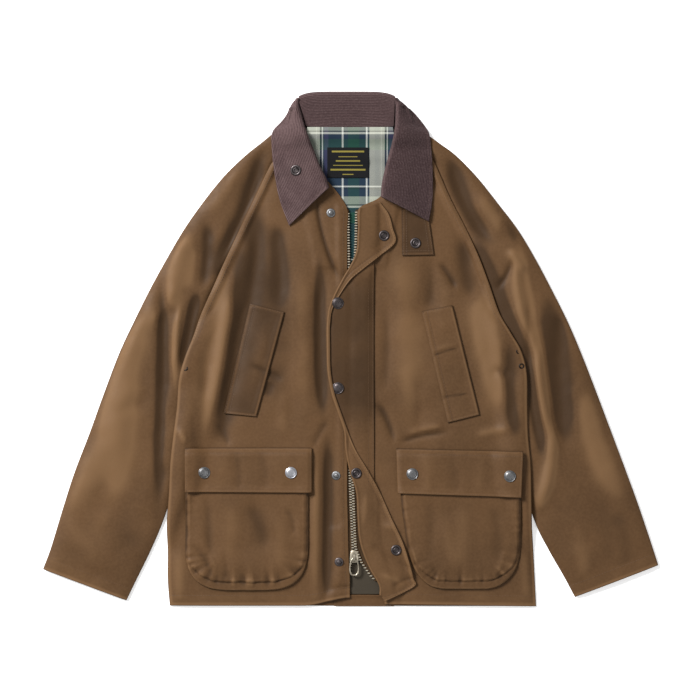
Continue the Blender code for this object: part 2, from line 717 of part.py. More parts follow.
def bridge_arch(plate_top):
    """A flat bar bent into an arch along the slider, its feet inside the plate."""
    steps = 9
    points = []
    for i in range(steps):
        angle = math.pi * i / (steps - 1)
        for depth in (0.0, BRIDGE_DEPTH):
            y = PULL_AXIS_Y + BRIDGE_FORWARD + (BRIDGE_HALF_SPAN - depth) * math.cos(angle)
            z = plate_top - BRIDGE_SINK + (BRIDGE_RISE - depth + BRIDGE_SINK) * math.sin(angle)
            points += [(SLIDER_X - BRIDGE_HALF_WIDTH, y, z), (SLIDER_X + BRIDGE_HALF_WIDTH, y, z)]
    faces = []
    for i in range(steps - 1):
        a, b = 4 * i, 4 * (i + 1)
        faces += [[a, a + 1, b + 1, b], [a + 3, a + 2, b + 2, b + 3]]
        faces += [[a + 2, a, b, b + 2], [a + 1, a + 3, b + 3, b + 1]]
    last = 4 * (steps - 1)
    faces += [[0, 2, 3, 1], [last, last + 1, last + 3, last + 2]]
    return points, faces


def zip_slider():
    ground = highest_below(SLIDER_X, SLIDER_Y, SLIDER_REACH) + REST_GAP
    plate_top = ground + SLIDER_HEIGHT
    low = (SLIDER_X - SLIDER_HALF_WIDTH, SLIDER_Y - SLIDER_HALF_LENGTH, ground)
    high = (SLIDER_X + SLIDER_HALF_WIDTH, SLIDER_Y + SLIDER_HALF_LENGTH, plate_top)
    slider = block("zip_slider", low, high, "antique_brass", SLIDER_BEVEL)
    points, faces = bridge_arch(plate_top)
    arch = add_object("slider_bridge", points, faces, "antique_brass")
    supports.pop()
    face_outward(arch)
    arch.hide_render = True
    arch.display_type = "WIRE"
    join = slider.modifiers.new("bridge", "BOOLEAN")
    join.operation = "UNION"
    join.object = arch
    return plate_top


def zip_pull(plate_top):
    """An oval wire loop whose near end passes under the slider's bridge."""
    turns = np.linspace(0, 2 * math.pi, 24, endpoint=False)
    squareness = 2 / PULL_SQUARENESS
    across = np.sign(np.cos(turns)) * np.abs(np.cos(turns)) ** squareness
    along = np.sign(np.sin(turns)) * np.abs(np.sin(turns)) ** squareness
    half_length = PULL_LENGTH / 2 - PULL_WIRE
    path = np.column_stack([
        across * (PULL_WIDTH / 2 - PULL_WIRE),
        along * half_length - half_length,
        np.zeros(len(turns)),
    ])
    points, faces = swept_loop(path, PULL_WIRE, 6)
    pull = add_object("zip_pull", points, faces, "antique_brass")
    supports.pop()
    face_outward(pull)
    axis_height = plate_top + PULL_AXIS_LIFT
    pull.location = Vector((SLIDER_X, PULL_AXIS_Y, axis_height)) * METRES
    return pull


def centre_on_surface():
    """Moves everything so that the jacket stands at the middle of its own box."""
    bpy.context.view_layer.update()
    visible = [obj for obj in bpy.data.objects if not obj.hide_render]
    corners = np.array([obj.matrix_world @ Vector(corner) for obj in visible for corner in obj.bound_box])
    low, high = corners.min(axis=0), corners.max(axis=0)
    shift = Vector((-(low[0] + high[0]) / 2, -(low[1] + high[1]) / 2, -low[2]))
    for obj in bpy.data.objects:
        obj.location += shift


def build():
    clear_scene()
    sleeve("sleeve_right", SLEEVE_RIGHT_ROWS, -1)
    sleeve("sleeve_left", SLEEVE_LEFT_ROWS, 1)
    collar_back()
    back_panel()
    lining = through(LINING_ROWS, 2)
    lining_plan = ruled(lining[:, 0:2], lining[:, 2:4], 6)
    wall("neck_lining", rest_on(lining_plan, LIGHT_CLOTH, LINING_REACH), LIGHT_CLOTH, "check_lining")
    patch("neck_label", LABEL_CORNERS, 4, 4, LIGHT_CLOTH, "label", LINING_REACH)
    patch("hem_lining", HEM_LINING_CORNERS, 5, 4, LIGHT_CLOTH, "dark_lining", HEM_LINING_REACH)
    facing_reach = HEM_FACING_REACH
    patch("back_hem_facing", HEM_FACING_CORNERS, 2, 4, LIGHT_CLOTH, "waxed_cotton", facing_reach)
    zip_tape("zip_tape_right", 1, -1)
    zip_tape("zip_tape_left", 2, 1)
    front("front_right", SIDE_RIGHT_ROWS, SLEEVE_RIGHT_ROWS, CENTRE_RIGHT_ROWS, -1)
    front("front_left", SIDE_LEFT_ROWS, SLEEVE_LEFT_ROWS, CENTRE_LEFT_ROWS, 1)
    plate_top = zip_slider()
    zip_pull(plate_top)
    patch("welt_right", WELT_RIGHT_CORNERS, 8, 3, CLOTH, "waxed_cotton", WELT_REACH)
    patch("welt_left", WELT_LEFT_CORNERS, 8, 3, CLOTH, "waxed_cotton", WELT_REACH)
    pocket_bag("pocket_bag_right", POCKET_RIGHT_ROWS)
    pocket_bag("pocket_bag_left", POCKET_LEFT_ROWS)
    patch("pocket_flap_right", FLAP_RIGHT_CORNERS, 5, 9, CLOTH, "waxed_cotton", FLAP_REACH)
    patch("pocket_flap_left", FLAP_LEFT_CORNERS, 5, 9, CLOTH, "waxed_cotton", FLAP_REACH)
    storm_fly()
    patch("throat_tab", TAB_CORNERS, 5, 4, CLOTH, "waxed_cotton", TAB_REACH)
    collar_leaf("collar_leaf_right", LEAF_RIGHT_ROWS)
    collar_leaf("collar_leaf_left", LEAF_LEFT_ROWS)
    for name, x, y in CAP_ROWS:
        turned(name, x, y, CAP_SECTION, "pewter")
    for name, x, y in RING_ROWS:
        turned(name, x, y, RING_SECTION, "pewter")
    for name, x, y in EYELET_ROWS:
        hollow_ring(name, x, y, EYELET_SECTION, "pewter")
    centre_on_surface()


build()
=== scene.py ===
import math
import bpy
import numpy as np
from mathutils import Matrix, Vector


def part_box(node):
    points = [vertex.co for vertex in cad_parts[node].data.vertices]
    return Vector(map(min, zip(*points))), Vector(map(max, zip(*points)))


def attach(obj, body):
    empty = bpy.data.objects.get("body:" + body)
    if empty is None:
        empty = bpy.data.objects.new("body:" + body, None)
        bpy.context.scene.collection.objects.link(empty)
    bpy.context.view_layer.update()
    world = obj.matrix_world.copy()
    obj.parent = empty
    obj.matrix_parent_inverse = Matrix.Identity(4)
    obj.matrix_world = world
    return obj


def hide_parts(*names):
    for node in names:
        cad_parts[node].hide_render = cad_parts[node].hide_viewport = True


# A waxed cotton jacket laid on its back. Shapes are worked out in millimetres, X across the
# jacket, Y towards the collar and Z up, and moved onto the frame when their mesh is made.
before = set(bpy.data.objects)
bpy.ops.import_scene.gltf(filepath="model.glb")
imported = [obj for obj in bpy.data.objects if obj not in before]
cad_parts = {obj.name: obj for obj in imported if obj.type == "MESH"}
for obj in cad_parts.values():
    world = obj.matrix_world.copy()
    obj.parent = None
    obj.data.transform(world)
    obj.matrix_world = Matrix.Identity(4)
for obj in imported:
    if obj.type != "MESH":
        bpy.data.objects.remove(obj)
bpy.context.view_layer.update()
mm = 0.001
flySnapPlace = (-18, 70)  # where the upper snap of the fly is in the tables below
snapLow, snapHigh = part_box("fly_cap_upper")
shift = np.array([(snapLow[axis] + snapHigh[axis]) / 2 / mm - flySnapPlace[axis] for axis in (0, 1)] + [0.0])
print("frame loaded:", len(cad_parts), "nodes, tables moved by", shift.round(2))

clothWall = {"waxed": 1.3, "light": 0.9, "cord": 2.4, "gap": 0.3}
halfTurn = np.radians([-60, -30, 0, 30, 60])  # steps of a sheet's turn round a folded edge
mapHalf = (490, 410)  # the map of the highest cloth so far has one cell a millimetre
topMap = np.zeros((2 * mapHalf[1] + 1, 2 * mapHalf[0] + 1))
latticeCells = 96  # random waves repeat after this many of their own lengths
latticeStart = (40.37, 40.71)
stitchSets = {}  # rows of stitches waiting to be made, by set name


def ease(share):
    share = np.clip(share, 0, 1)
    return share * share * (3 - 2 * share)


def through(rows, steps):
    # a smooth curve through the rows: cubic pieces whose slopes are half the step between neighbours
    rows = np.asarray(rows, float)
    before = np.vstack([2 * rows[0] - rows[1], rows])
    after = np.vstack([rows, 2 * rows[-1] - rows[-2]])
    slopes = (after[1:] - before[:-1]) / 2
    t = (np.arange(steps) / steps)[None, :, None]
    curve = ((2 * t**3 - 3 * t**2 + 1) * rows[:-1, None] + (t**3 - 2 * t**2 + t) * slopes[:-1, None]
             + (3 * t**2 - 2 * t**3) * rows[1:, None] + (t**3 - t**2) * slopes[1:, None])
    return np.vstack([curve.reshape(-1, rows.shape[1]), rows[-1:]])


def shares(length, spacing):
    # places from 0 to 1 along a length, closer together at both ends so that an edge can be rounded
    near = np.array([0, 0.5, 1.3, 2.6])
    count = max(3, round((length - 2 * near[-1]) / spacing) + 1)
    middle = np.linspace(near[-1], length - near[-1], count)
    return np.concatenate([near[:-1], middle, length - near[-2::-1]]) / length


def evenly(rows, spacing, steps=12):
    # the smooth curve through the rows, read at even distances and closer together at its ends
    fine = through(rows, steps)
    pairs = np.diff(fine[:, : fine.shape[1] // 2 * 2], axis=0).reshape(len(fine) - 1, -1, 2)
    run = np.concatenate([[0], np.cumsum(np.linalg.norm(pairs, axis=2).mean(axis=1))])
    wanted = shares(run[-1], spacing) * run[-1]
    return np.column_stack([np.interp(wanted, run, fine[:, column]) for column in range(fine.shape[1])])


def ruled(first, second, across):
    # straight lines from one edge curve to the other, with points at the given shares
    across = np.asarray(across)[None, :, None]
    return first[:, None] * (1 - across) + second[:, None] * across


def fourCorners(corners, spacing):
    corners = np.asarray(corners, float)
    length = np.linalg.norm(corners[3] - corners[0])
    width = np.linalg.norm(corners[1] - corners[0])
    down = shares(length, spacing)[:, None]
    first = corners[0] * (1 - down) + corners[3] * down
    second = corners[1] * (1 - down) + corners[2] * down
    return ruled(first, second, shares(width, spacing))


def wander(x, y, size, seed):
    # soft random waves: random heights on a lattice of that size, eased between neighbours
    lattice = np.random.default_rng(seed).uniform(-1, 1, (latticeCells + 1, latticeCells + 1))
    u, v = np.broadcast_arrays(np.asarray(x) / size + latticeStart[0], np.asarray(y) / size + latticeStart[1])
    column, row = np.floor(u).astype(int), np.floor(v).astype(int)
    a, b = ease(u - column), ease(v - row)
    column, row = column % latticeCells, row % latticeCells
    low = lattice[row, column] * (1 - a) + lattice[row, column + 1] * a
    high = lattice[row + 1, column] * (1 - a) + lattice[row + 1, column + 1] * a
    return low * (1 - b) + high * b


def rumpled(plan, waves, seed):
    # waves of several sizes added up, each given as its size and height
    x, y = plan[..., 0], plan[..., 1]
    return sum(height * wander(x, y, size, seed + index) for index, (size, height) in enumerate(waves))


def folded(plan, folds):
    # each fold is a ridge or trough along a bowed line: height times exp(-(distance / width)^power),
    # fading towards both ends
    x, y = plan[..., 0], plan[..., 1]
    total = np.zeros(plan.shape[:2])
    for x0, y0, x1, y1, width, height, bow, power in folds:
        dx, dy = x1 - x0, y1 - y0
        length = math.hypot(dx, dy)
        along = ((x - x0) * dx + (y - y0) * dy) / length**2
        aside = ((y - y0) * dx - (x - x0) * dy) / length - 4 * bow * along * (1 - along)
        fade = ease(along / 0.35 + 0.3) * ease((1 - along) / 0.35 + 0.3)
        total += height * np.exp(-(np.abs(aside) / width) ** power) * fade
    return total


def finer(points, longest):
    # a grid filled in with straight steps no longer than that
    for axis in (0, 1):
        gaps = np.linalg.norm(np.diff(points[..., :2], axis=axis), axis=2)
        steps = max(1, math.ceil(gaps.max() / longest))
        count = points.shape[axis]
        place = np.linspace(0, count - 1, (count - 1) * steps + 1)
        low = np.minimum(place.astype(int), count - 2)
        share = (place - low).reshape((-1, 1, 1) if axis == 0 else (1, -1, 1))
        points = np.take(points, low, axis) * (1 - share) + np.take(points, low + 1, axis) * share
    return points


def stamp(points):
    # raises the map to the upper side of a sheet
    fine = finer(points, 0.8).reshape(-1, 3)
    column = np.clip(np.rint(fine[:, 0] + mapHalf[0]).astype(int), 0, topMap.shape[1] - 1)
    row = np.clip(np.rint(fine[:, 1] + mapHalf[1]).astype(int), 0, topMap.shape[0] - 1)
    np.maximum.at(topMap, (row, column), fine[:, 2])


def readMap(heights, x, y):
    # heights of the map at plan points, in straight steps between cells
    u = np.clip(np.asarray(x) + mapHalf[0], 0, heights.shape[1] - 1.001)
    v = np.clip(np.asarray(y) + mapHalf[1], 0, heights.shape[0] - 1.001)
    column, row = u.astype(int), v.astype(int)
    a, b = u - column, v - row
    low = heights[row, column] * (1 - a) + heights[row, column + 1] * a
    high = heights[row + 1, column] * (1 - a) + heights[row + 1, column + 1] * a
    return low * (1 - b) + high * b


def boxBlur(values, radius, axis):
    # the mean over a window of that radius, by differences of a running total
    edges = [(radius + 1, radius) if side == axis else (0, 0) for side in (0, 1)]
    total = np.cumsum(np.pad(values, edges, "edge"), axis)
    count = values.shape[axis]
    ends = np.take(total, np.arange(2 * radius + 1, 2 * radius + 1 + count), axis)
    return (ends - np.take(total, np.arange(count), axis)) / (2 * radius + 1)


def restOn(plan, reach, soften):
    # the highest cloth within reach of each plan point, its steps softened into slopes
    found = topMap
    for axis in (0, 1):
        widest = found.copy()
        for step in range(1, reach + soften + 1):
            widest = np.maximum(widest, np.maximum(np.roll(found, step, axis), np.roll(found, -step, axis)))
        found = widest
    if soften > 1:
        for axis in (0, 1, 0, 1):
            found = boxBlur(found, soften // 2, axis)
    return readMap(found, plan[..., 0], plan[..., 1])


def lieOn(plan, reach, soften, cloth="waxed"):
    # the height of a sheet's middle when it lies on the cloth below with a small gap
    return restOn(plan, reach, soften) + clothWall[cloth] / 2 + clothWall["gap"]


def distances(plan):
    # how far each grid point is, along its row and along its column, from each edge of the grid
    across = np.linalg.norm(np.diff(plan[..., :2], axis=1), axis=2).cumsum(axis=1)
    along = np.linalg.norm(np.diff(plan[..., :2], axis=0), axis=2).cumsum(axis=0)
    across = np.pad(across, ((0, 0), (1, 0)))
    along = np.pad(along, ((1, 0), (0, 0)))
    return across, across[:, -1:] - across, along, along[-1:] - along


def pieceName(nodeName):
    first, *rest = nodeName.split("_")
    return first + "".join(word.title() for word in rest)


def putMesh(name, points, faces, finish, sharp=None):
    # points are in millimetres; edges that turn more than the given degrees stay crisp
    mesh = bpy.data.meshes.new(name)
    mesh.from_pydata(((np.asarray(points) + shift) * mm).tolist(), [], faces)
    mesh.shade_smooth()
    if sharp:
        mesh.set_sharp_from_angle(angle=math.radians(sharp))
    mesh.materials.append(finishes[finish])
    piece = bpy.data.objects.new(name, mesh)
    bpy.context.scene.collection.objects.link(piece)
    return piece


def gridQuads(rows, columns, start=0):
    index = start + np.arange(rows * columns).reshape(rows, columns)
    return np.dstack([index[:-1, :-1], index[:-1, 1:], index[1:, 1:], index[1:, :-1]]).reshape(-1, 4)


def wall(name, grid, thickness, finish, relief, edge):
    # a closed wall: the grid moved half a thickness to both sides along its normals, thinner at its
    # outermost rows so that the edge is rounded, and joined by a rim
    rows, columns = grid.shape[:2]
    normals = np.cross(np.gradient(grid, axis=1), np.gradient(grid, axis=0))
    normals /= np.linalg.norm(normals, axis=2, keepdims=True)
    half = np.full((rows, columns), thickness / 2)
    for ring, share in ((1, 0.5 + edge / 1.2), (0, edge)):
        inside = slice(ring, -1 - ring or None)
        for line in ((ring, inside), (-1 - ring, inside), (inside, ring), (inside, -1 - ring)):
            half[line] = thickness / 2 * min(share, 1)
    upper = grid + normals * half[..., None]
    lower = grid - normals * half[..., None]
    count = rows * columns
    index = np.arange(count).reshape(rows, columns)
    rim = np.concatenate([index[0, :-1], index[:-1, -1], index[-1, :0:-1], index[:0:-1, 0]])
    following = np.roll(rim, -1)
    faces = np.vstack([
        gridQuads(rows, columns),
        gridQuads(rows, columns, count)[:, ::-1],
        np.column_stack([rim, rim + count, following + count, following]),
    ])
    piece = putMesh(name, np.vstack([upper.reshape(-1, 3), lower.reshape(-1, 3)]), faces.tolist(), finish)
    addMap(piece, grid)
    # the relief attribute carries painted shade and painted highlight to the finishes
    shade = np.zeros(count) if relief is None else relief.ravel()
    attribute = piece.data.attributes.new("relief", "FLOAT", "POINT")
    attribute.data.foreach_set("value", np.concatenate([shade, shade]).astype(np.float32))
    return piece, np.dstack([grid[..., :2], grid[..., 2] + np.abs(normals[..., 2]) * half])


def addMap(piece, grid):
    # the piece's own map: distance across and along the cloth, in metres, the same on both sides
    along = distances(grid)[2][:, grid.shape[1] // 2][:, None] + np.zeros((1, grid.shape[1]))
    across = np.pad(np.linalg.norm(np.diff(grid, axis=1), axis=2).cumsum(axis=1), ((0, 0), (1, 0)))
    places = np.dstack([across - across[:, -1:] / 2, along]).reshape(-1, 2) * mm
    loops = np.empty(len(piece.data.loops), np.int32)
    piece.data.loops.foreach_get("vertex_index", loops)
    layer = piece.data.uv_layers.new(name="cloth")
    layer.data.foreach_set("uv", places[loops % len(places)].astype(np.float32).ravel())


def laySheet(nodeName, grid, cloth, finish, relief=None,
             edge=0.5):
    # makes a sheet, hides the frame's part that it stands for, hangs it on the body it moves with, and marks
    # the map
    piece, top = wall(pieceName(nodeName), grid, clothWall[cloth], finish, relief, edge)
    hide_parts(nodeName)
    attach(piece, "garment")
    stamp(top)


def stitchPath(setName, path, pitch=4.2, lift=0.05, halfStitch=0.37):
    # keeps evenly spaced stitch middles and directions along a path that lies on the map; half a
    # stitch is given as a share of the pitch
    path = np.asarray(path, float)
    run = np.concatenate([[0], np.cumsum(np.linalg.norm(np.diff(path, axis=0), axis=1))])
    places = np.arange(pitch / 2, run[-1] - pitch / 3, pitch)
    ends = []
    for offset in (-pitch * halfStitch, pitch * halfStitch):
        x = np.interp(places + offset, run, path[:, 0])
        y = np.interp(places + offset, run, path[:, 1])
        ends.append(np.column_stack([x, y, readMap(topMap, x, y) + lift]))
    stitchSets.setdefault(setName, []).append(np.dstack(ends))


def alongColumn(grid, distance, first=0.0, last=1.0, fromEnd=False):
    # plan path at a distance from a sheet's first or last column
    near, far, _, _ = distances(grid)
    reach = far[:, ::-1] if fromEnd else near
    plan = grid[:, ::-1, :2] if fromEnd else grid[..., :2]
    path = np.array([[np.interp(distance, reach[row], plan[row, :, axis]) for axis in (0, 1)]
                     for row in range(len(plan))])
    return path[int(first * len(path)): max(2, math.ceil(last * len(path)))]


def alongRow(grid, distance, first=0.0, last=1.0, fromEnd=False):
    return alongColumn(np.swapaxes(grid, 0, 1), distance, first, last, fromEnd)


def groove(distance, place, width=0.9, depth=0.3):
    # the narrow furrow that a row of stitches pulls into the cloth
    return -depth * np.exp(-((distance - place) / width) ** 2)


def edgeWearAndShade(distance, bright=0.9, dark=0.9):
    # painted shade of an edge: a pale line just inside it, partly rubbed wax and partly painted highlight,
    # and a dark one at the edge itself, as its painted shadow
    return bright * np.exp(-((distance - 2.0) / 1.1) ** 2) - dark * np.exp(-((distance / 0.8) ** 2))


def seamed(plan, distance, lines, allowance, seed, pucker=0.22):
    # a seam's ridge of turned cloth, its stitch furrows and the small puckers beside them
    ridge = 0.7 * ease((allowance - distance) / 1.6 + 0.5)
    waves = pucker * wander(plan[..., 0], plan[..., 1], 7.5, seed)
    waves = waves * np.exp(-((distance - lines[-1]) / 7) ** 2)
    return ridge + waves + sum(groove(distance, place) for place in lines)


def turnedHem(plan, distance, hem, seed):
    # a hem's raised band, the furrow of its stitches, and small waves along its upper edge
    band = hem["rise"] * ease((hem["band"] - distance) / 1.5 + 0.5) + groove(distance, hem["stitch"])
    waves = hem["wave"] * wander(plan[..., 0], plan[..., 1], 9, seed)
    return band + waves * np.exp(-((distance - hem["band"]) / 7) ** 2)


def newGroup(name, inputs, outputs):
    # an empty shader group with named sockets; inputs are (name, kind, value)
    tree = bpy.data.node_groups.new(name, "ShaderNodeTree")
    for label, kind, value in inputs:
        made = tree.interface.new_socket(label, in_out="INPUT", socket_type="NodeSocket" + kind)
        if value is not None:
            made.default_value = value
    for label, kind in outputs:
        tree.interface.new_socket(label, in_out="OUTPUT", socket_type="NodeSocket" + kind)
    return tree, tree.nodes.new("NodeGroupInput"), tree.nodes.new("NodeGroupOutput")


def feed(tree, made, place, source):
    # a link where the source is another node's socket, else the plain value
    if hasattr(source, "is_output"):
        tree.links.new(source, made.inputs[place])
    else:
        made.inputs[place].default_value = source


def node(tree, kind, links=(), **settings):
    # one node, with its settings and what feeds each of its inputs
    made = tree.nodes.new("ShaderNode" + kind)
    for key, value in settings.items():
        setattr(made, key, value)
    for place, source in dict(links).items():
        feed(tree, made, place, source)
    return made


def maths(tree, operation, first, second=0.0, third=0.0):
    return node(tree, "Math", {0: first, 1: second, 2: third}, operation=operation).outputs[0]


def mixed(tree, share, first, second):
    made = node(tree, "Mix", data_type="RGBA", blend_type="MIX")
    for place, source in ((0, share), (6, first), (7, second)):
        feed(tree, made, place, source)
    return made.outputs[2]


def ramp(tree, source, stops):
    # a smooth change: from the first two values of the source to the last two
    links = {0: source, 1: stops[0], 2: stops[1], 3: stops[2], 4: stops[3]}
    return node(tree, "MapRange", links, interpolation_type="SMOOTHSTEP").outputs[0]


def objectNoise(tree, scale, detail):
    place = node(tree, "TexCoord").outputs["Object"]
    return node(tree, "TexNoise", {"Vector": place, "Scale": scale, "Detail": detail}).outputs[0]


def weaveGroup():
    # crossing threads: a sine along each direction of the cloth, the higher of the two on top
    tree, given, result = newGroup("clothWeave", [("Threads", "Float", 1400.0)], [("Height", "Float")])
    place = node(tree, "UVMap", uv_map="cloth")
    parts = node(tree, "SeparateXYZ", {0: place.outputs[0]})
    waves = []
    for axis in (0, 1):
        turn = maths(tree, "MULTIPLY", parts.outputs[axis], given.outputs[0])
        waves.append(maths(tree, "MULTIPLY_ADD", maths(tree, "SINE", turn), 0.5, 0.5))
    tree.links.new(maths(tree, "MAXIMUM", waves[0], waves[1]), result.inputs[0])
    return tree


def mottleAndShadeGroup():
    # colour that varies softly over the cloth at random, with painted highlight on ridges and painted shade
    # in troughs and grooves, read from the relief attribute
    tree, given, result = newGroup(
        "mottleAndPaintedShade",
        [("Color", "Color", (0.5, 0.5, 0.5, 1)), ("Pale", "Color", (0.5, 0.5, 0.5, 1)),
         ("Deep", "Color", (0.5, 0.5, 0.5, 1)), ("Patches", "Float", 9.0), ("Relief", "Float", 1.0)],
        [("Color", "Color"), ("Ridge", "Float")],
    )
    place = node(tree, "TexCoord").outputs["Object"]
    broad = node(tree, "TexNoise", {"Vector": place, "Scale": given.outputs["Patches"], "Detail": 4.0})
    relief = node(tree, "Attribute", attribute_name="relief").outputs["Fac"]
    lift = maths(tree, "MULTIPLY", relief, given.outputs["Relief"])
    ridge = ramp(tree, lift, (0.0, 1.0, 0.0, 1.0))
    trough = ramp(tree, maths(tree, "MULTIPLY", lift, -1.0), (0.0, 1.0, 0.0, 1.0))
    patch = ramp(tree, broad.outputs[0], (0.35, 0.68, 0.0, 1.0))
    grain = ramp(tree, objectNoise(tree, 260.0, 3.0), (0.3, 0.7, 0.0, 1.0))
    toned = given.outputs["Color"]
    # random patches and grain first, then painted highlight where the relief is high and painted shade where
    # it is low
    for mask, strength, other in ((patch, 0.30, "Deep"), (grain, 0.14, "Pale"),
                                  (ridge, 0.70, "Pale"), (trough, 0.75, "Deep")):
        toned = mixed(tree, maths(tree, "MULTIPLY", mask, strength), toned, given.outputs[other])
    tree.links.new(toned, result.inputs[0])
    tree.links.new(ridge, result.inputs[1])
    return tree


def newFinish(name, roughness, specular=0.3, metallic=0.0):
    made = bpy.data.materials.new(name)
    made.use_nodes = True
    shader = made.node_tree.nodes["Principled BSDF"]
    shader.inputs["Roughness"].default_value = roughness
    shader.inputs["Specular IOR Level"].default_value = specular
    shader.inputs["Metallic"].default_value = metallic
    return made, made.node_tree, shader


def group(tree, shared, values):
    made = tree.nodes.new("ShaderNodeGroup")
    made.node_tree = shared
    for label, value in values.items():
        made.inputs[label].default_value = value
    return made


def bumpFrom(tree, shader, height, strength, distance):
    made = node(tree, "Bump", {"Height": height, "Strength": strength, "Distance": distance})
    tree.links.new(made.outputs[0], shader.inputs["Normal"])


# the cloth's colour; pale and deep give its random tone, and also the painted highlight on ridges and the
# painted shade in troughs
waxLook = {
    "color": (0.089, 0.0450, 0.0185, 1),
    "pale": (0.160, 0.088, 0.040, 1),
    "deep": (0.026, 0.0130, 0.0050, 1),
}


def waxedFinish(name, look, weave, mottleAndShade):
    # a dry wax film over a fine weave: its sheen varies softly from place to place
    made, tree, shader = newFinish(name, 0.6, 0.13)
    tones = group(tree, mottleAndShade, {"Color": look["color"], "Pale": look["pale"], "Deep": look["deep"],
                               "Patches": 8.0, "Relief": 1.0})
    threads = group(tree, weave, {"Threads": 6400.0})
    tree.links.new(tones.outputs[0], shader.inputs["Base Color"])
    film = ramp(tree, objectNoise(tree, 34.0, 5.0), (0.3, 0.75, 0.50, 0.68))
    tree.links.new(film, shader.inputs["Roughness"])
    height = maths(tree, "MULTIPLY_ADD", threads.outputs[0], 0.5, objectNoise(tree, 420.0, 3.0))
    bumpFrom(tree, shader, height, 0.35, 0.00025)
    return made


cordLook = {
    "wale": 0.0024,  # from one rib to the next
    # pale and deep give the random tone, and also painted highlight and painted shade; furrow is the painted
    # shade between the ribs
    "color": (0.070, 0.042, 0.042, 1),
    "pale": (0.150, 0.100, 0.098, 1),
    "deep": (0.026, 0.015, 0.016, 1),
    "furrow": (0.036, 0.021, 0.021, 1),
    "nap": (0.17, 0.118, 0.115, 1),
    "sheen": (0.75, 0.6, 0.6, 1),
}


def corduroyFinish(name, look, mottleAndShade, axis):
    # wales run along the collar: rounded ribs with painted shade in the furrow between them, and a soft nap
    # on top
    made, tree, shader = newFinish(name, 0.92, 0.1)
    shader.inputs["Sheen Weight"].default_value = 0.12
    shader.inputs["Sheen Roughness"].default_value = 0.5
    shader.inputs["Sheen Tint"].default_value = look["sheen"]
    tones = group(tree, mottleAndShade, {"Color": look["color"], "Pale": look["pale"], "Deep": look["deep"],
                               "Patches": 14.0, "Relief": 1.0})
    place = node(tree, "UVMap", uv_map="cloth")
    parts = node(tree, "SeparateXYZ", {0: place.outputs[0]})
    pushed = node(tree, "TexNoise", {"Vector": place.outputs[0], "Scale": 45.0, "Detail": 2.0})
    across = maths(tree, "MULTIPLY_ADD", pushed.outputs[0], look["wale"] / 4, parts.outputs[axis])
    wave = maths(tree, "SINE", maths(tree, "MULTIPLY", across, 2 * math.pi / look["wale"]))
    rib = ramp(tree, wave, (-1.0, 0.4, 0.0, 1.0))
    nap = node(tree, "TexNoise", {"Vector": place.outputs[0], "Scale": 420.0, "Detail": 3.0})
    # the furrows between the ribs are painted darker, as their shade
    furrow = mixed(tree, rib, look["furrow"], tones.outputs[0])
    napped = mixed(tree, ramp(tree, nap.outputs[0], (0.42, 0.75, 0.0, 0.22)), furrow, look["nap"])
    tree.links.new(napped, shader.inputs["Base Color"])
    bumpFrom(tree, shader, maths(tree, "MULTIPLY_ADD", nap.outputs[0], 0.4, rib), 0.7, 0.0006)
    return made


# an ordinary tartan: each stripe is where its middle is in one repeat, half its width, how strongly
# it covers, and its colour; the repeats are in metres across and along
checkLook = {
    "repeat": (0.097, 0.1095),
    "across": ((0.0290, 0.0085, 0.60, (0.010, 0.060, 0.030)), (0.0125, 0.0013, 0.85, (0.62, 0.62, 0.57)),
               (0.0640, 0.0115, 0.92, (0.42, 0.42, 0.35)), (0.0640, 0.0035, 0.40, (0.30, 0.31, 0.27)),
               (0.0485, 0.0012, 0.85, (0.70, 0.70, 0.66)), (0.0770, 0.0011, 0.92, (0.010, 0.010, 0.012)),
               (0.0792, 0.0009, 0.80, (0.62, 0.62, 0.58)), (0.0850, 0.0032, 0.60, (0.060, 0.042, 0.110)),
               (0.0705, 0.0007, 0.50, (0.60, 0.60, 0.52))),
    "along": ((0.0065, 0.0105, 0.80, (0.33, 0.36, 0.29)), (0.0128, 0.0009, 0.92, (0.010, 0.010, 0.012)),
              (0.0155, 0.0013, 0.60, (0.62, 0.62, 0.55)), (0.0320, 0.0080, 0.60, (0.012, 0.070, 0.030)),
              (0.0945, 0.0011, 0.80, (0.62, 0.62, 0.56)), (0.0978, 0.0010, 0.88, (0.010, 0.010, 0.012))),
    "ground": (0.0125, 0.024, 0.042),
    "start": (-0.0245, 0.338),
    "softEdge": 0.0006,
    "twill": 0.0008,  # from one diagonal step of the weave to the next
}


def checkFinish(name, look):
    made, tree, shader = newFinish(name, 0.88, 0.15)
    place = node(tree, "TexCoord").outputs["Object"]
    parts = node(tree, "SeparateXYZ", {0: place})
    colours = []
    for axis, key in ((0, "across"), (1, "along")):
        offset = maths(tree, "SUBTRACT", parts.outputs[axis], look["start"][axis])
        if axis:
            offset = maths(tree, "MULTIPLY", offset, -1.0)
        within = maths(tree, "FLOORED_MODULO", offset, look["repeat"][axis])
        shade = (*look["ground"], 1)
        for middle, half, cover, colour in look[key]:
            away = maths(tree, "ABSOLUTE", maths(tree, "SUBTRACT", within, middle))
            edge = min(look["softEdge"], half / 2)
            inside = ramp(tree, away, (half - edge, half + edge, cover, 0.0))
            shade = mixed(tree, inside, shade, (*colour, 1))
        colours.append(shade)
    # warp shows over weft in fine diagonal steps, as in a twill
    slant = maths(tree, "ADD", parts.outputs[0], parts.outputs[1])
    twill = maths(tree, "SINE", maths(tree, "MULTIPLY", slant, 2 * math.pi / look["twill"]))
    share = ramp(tree, twill, (-0.8, 0.8, 0.38, 0.62))
    cloth = mixed(tree, share, colours[0], colours[1])
    tree.links.new(cloth, shader.inputs["Base Color"])
    bumpFrom(tree, shader, twill, 0.25, 0.0002)
    return made


def deeper(color):
    # the same colour as it looks in the shade between threads
    return tuple(part * 0.55 for part in color[:3]) + (1,)


